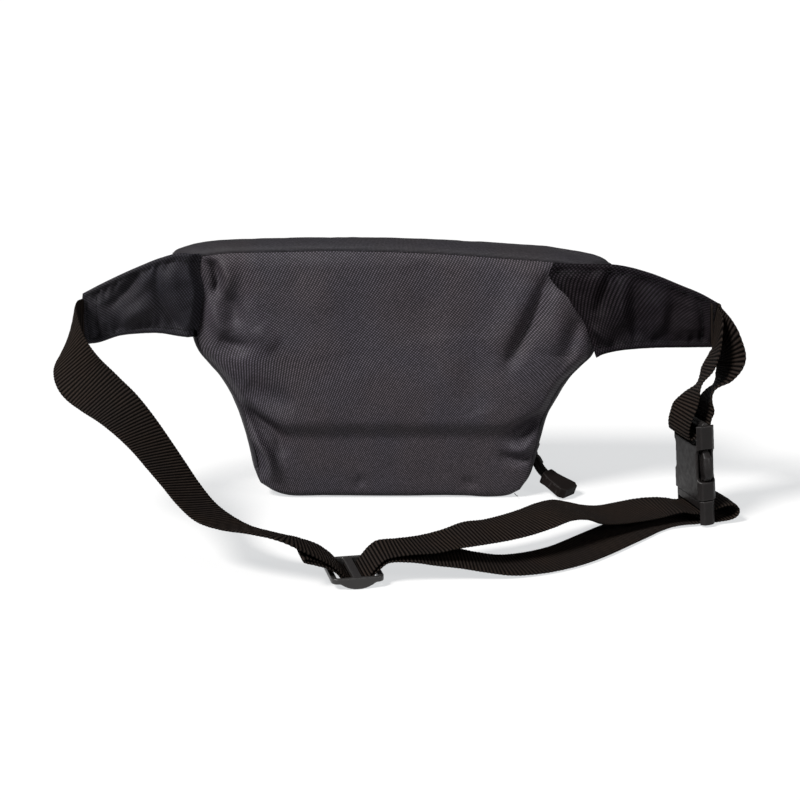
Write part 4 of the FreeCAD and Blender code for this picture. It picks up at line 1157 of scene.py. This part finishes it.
def make_zips(gusset):
    above, _ = gusset.split(Z_BOTTOM_PANEL + 2.5)
    middle = gusset.zip[gusset.ZIP_STEPS // 2]
    coil("coil_main", middle[above], ring_normals(middle)[above], "main_zipper_coil")
    for name, node, body in (("glider_main", "main_slider", "main_zip_slider"),
                             ("tab_main", "main_puller", "main_zip_pull"),
                             ("glider_pocket", "pocket_slider", "pocket_zip_slider"),
                             ("tab_pocket", "pocket_puller", "pocket_zip_pull")):
        moulded(name, node, ZIP_METAL, body, "zip_metal", 0.16, 3)
    for name, node in (("stops_main", "main_zipper_stops"), ("stops_pocket", "pocket_zipper_stops")):
        moulded(name, node, ZIP_METAL, "pack", "zip_stop", 0.15, 3)


def flared(points):
    """Widens the grip away from the cord and waists it where the cord goes in."""
    start, way = np.array(MAIN_CORD[-1]), unit(np.array(GRIP_WAY))
    along = (points - start) @ way
    spine = start + along[:, None] * way
    swell = 1.5 - 0.28 * smoothstep(-7.5, -1.5, along) + 0.06 * smoothstep(0, 8, along)
    return spine + (points - spine) * swell[:, None]


def make_pull_cord():
    """Doubled braided cord from the main zip's tab, with its moulded grip."""
    data = bpy.data.curves.new("cord_route", "CURVE")
    data.dimensions = "3D"
    data.resolution_u = 24
    spline = data.splines.new("NURBS")
    spline.points.add(len(MAIN_CORD) - 1)
    for point, place in zip(spline.points, MAIN_CORD):
        point.co = (*(c * MM for c in place), 1.0)
    spline.order_u = 3
    spline.use_endpoint_u = True
    route = link("cord_route", data)
    bpy.context.view_layer.update()
    line = bpy.data.meshes.new_from_object(route.evaluated_get(bpy.context.evaluated_depsgraph_get()))
    path = np.array([v.co for v in line.vertices]) / MM
    bpy.data.objects.remove(route)
    path = resample(path, 90, 3)
    tangent = unit(np.gradient(path, axis=0))
    side = unit(np.cross(tangent, (0.0, -1.0, 0.27)))
    up = np.cross(side, tangent)
    turn = np.linspace(0, 2 * math.pi, 28, endpoint=False)[None]
    s = arc_lengths(path)[:, None]
    lobes = 1.4 + 1.5 * np.abs(np.cos(turn)) ** 1.3 + 0.08 * np.sin(turn * 7 + s * 3.2)
    points = (path[:, None] + side[:, None] * (lobes * np.cos(turn))[..., None]
              + up[:, None] * (lobes * np.sin(turn))[..., None])
    cord = lattice("cord_main", points, CORD, wrap=True, caps=True)
    dress(cord, "main_zip_pull", "pull_cord", "main_pull_cord")
    grip = moulded("grip_main", "main_pull_grip", GRIP, "main_zip_pull", "pull_grip", 0.3, 6, flared)


# ================= front pocket =================

def make_pocket():
    base, face = ring_of(POCKET_BASE), ring_of(POCKET_FACE)
    near = Gusset.lift(base, front_y(base[:, 1]) + 1.0)
    far = Gusset.lift(face, front_y(face[:, 1]) + POCKET_DEPTH)
    outward = ring_normals(near)
    steps = 10
    rows = []
    for share in np.linspace(0, 1, steps + 1):
        bulge = 1.6 * math.sin(math.pi * share) - 0.9 * math.exp(-((share / 0.07) ** 2))
        rows.append(lerp(near, far, share) + outward * bulge * (near[:, 2:] < 90))
    rows = np.array(rows)
    in_zip = (near[:, 2] > 97) & (np.abs(near[:, 0]) < POCKET_ZIP_HALF)
    run = np.flatnonzero(in_zip)
    rest = [k % len(base) for k in range(run[-1], run[0] + len(base) + 1)]
    gusset_piece = thicken(lattice("pocket_side", rows[:, rest][:, ::-1], SHELL_EDGE), 0.8)
    dress(gusset_piece, "pack", "shell_cloth", "pocket_gusset")
    tape = thicken(lattice("pocket_tape", rows[:, run][:, ::-1], ZIP_TAPE), 0.6)
    dress(tape, "pack", "zip_tape", "pocket_zipper_tape")
    front = panel("pocket_face", POCKET_FACE, lambda z: front_y(z) + POCKET_DEPTH,
                  lambda xz: 0 * xz[..., 0], SHELL, 3.0, width=160, height=82)
    dress(thicken(front, 0.8), "pack", "shell_cloth", "pocket_panel")
    middle = rows[steps // 2, run][::-1]
    slope = unit(rows[-1, run[0]] - rows[0, run[0]])
    normal = np.cross((1, 0, 0), slope)
    normal = normal if normal[2] > 0 else -normal
    keep = np.abs(middle[:, 0]) < POCKET_ZIP_HALF - 2
    coil("coil_pocket", middle[keep], np.tile(normal, (keep.sum(), 1)), "pocket_zipper_coil")


# ================= main =================

make_camera()
make_studio()
gusset = make_body()
make_inner_bag()
make_pocket()
make_wings()
make_loose_threads()
make_belt()
make_short_strap()
make_hardware()
make_zips(gusset)
make_pull_cord()
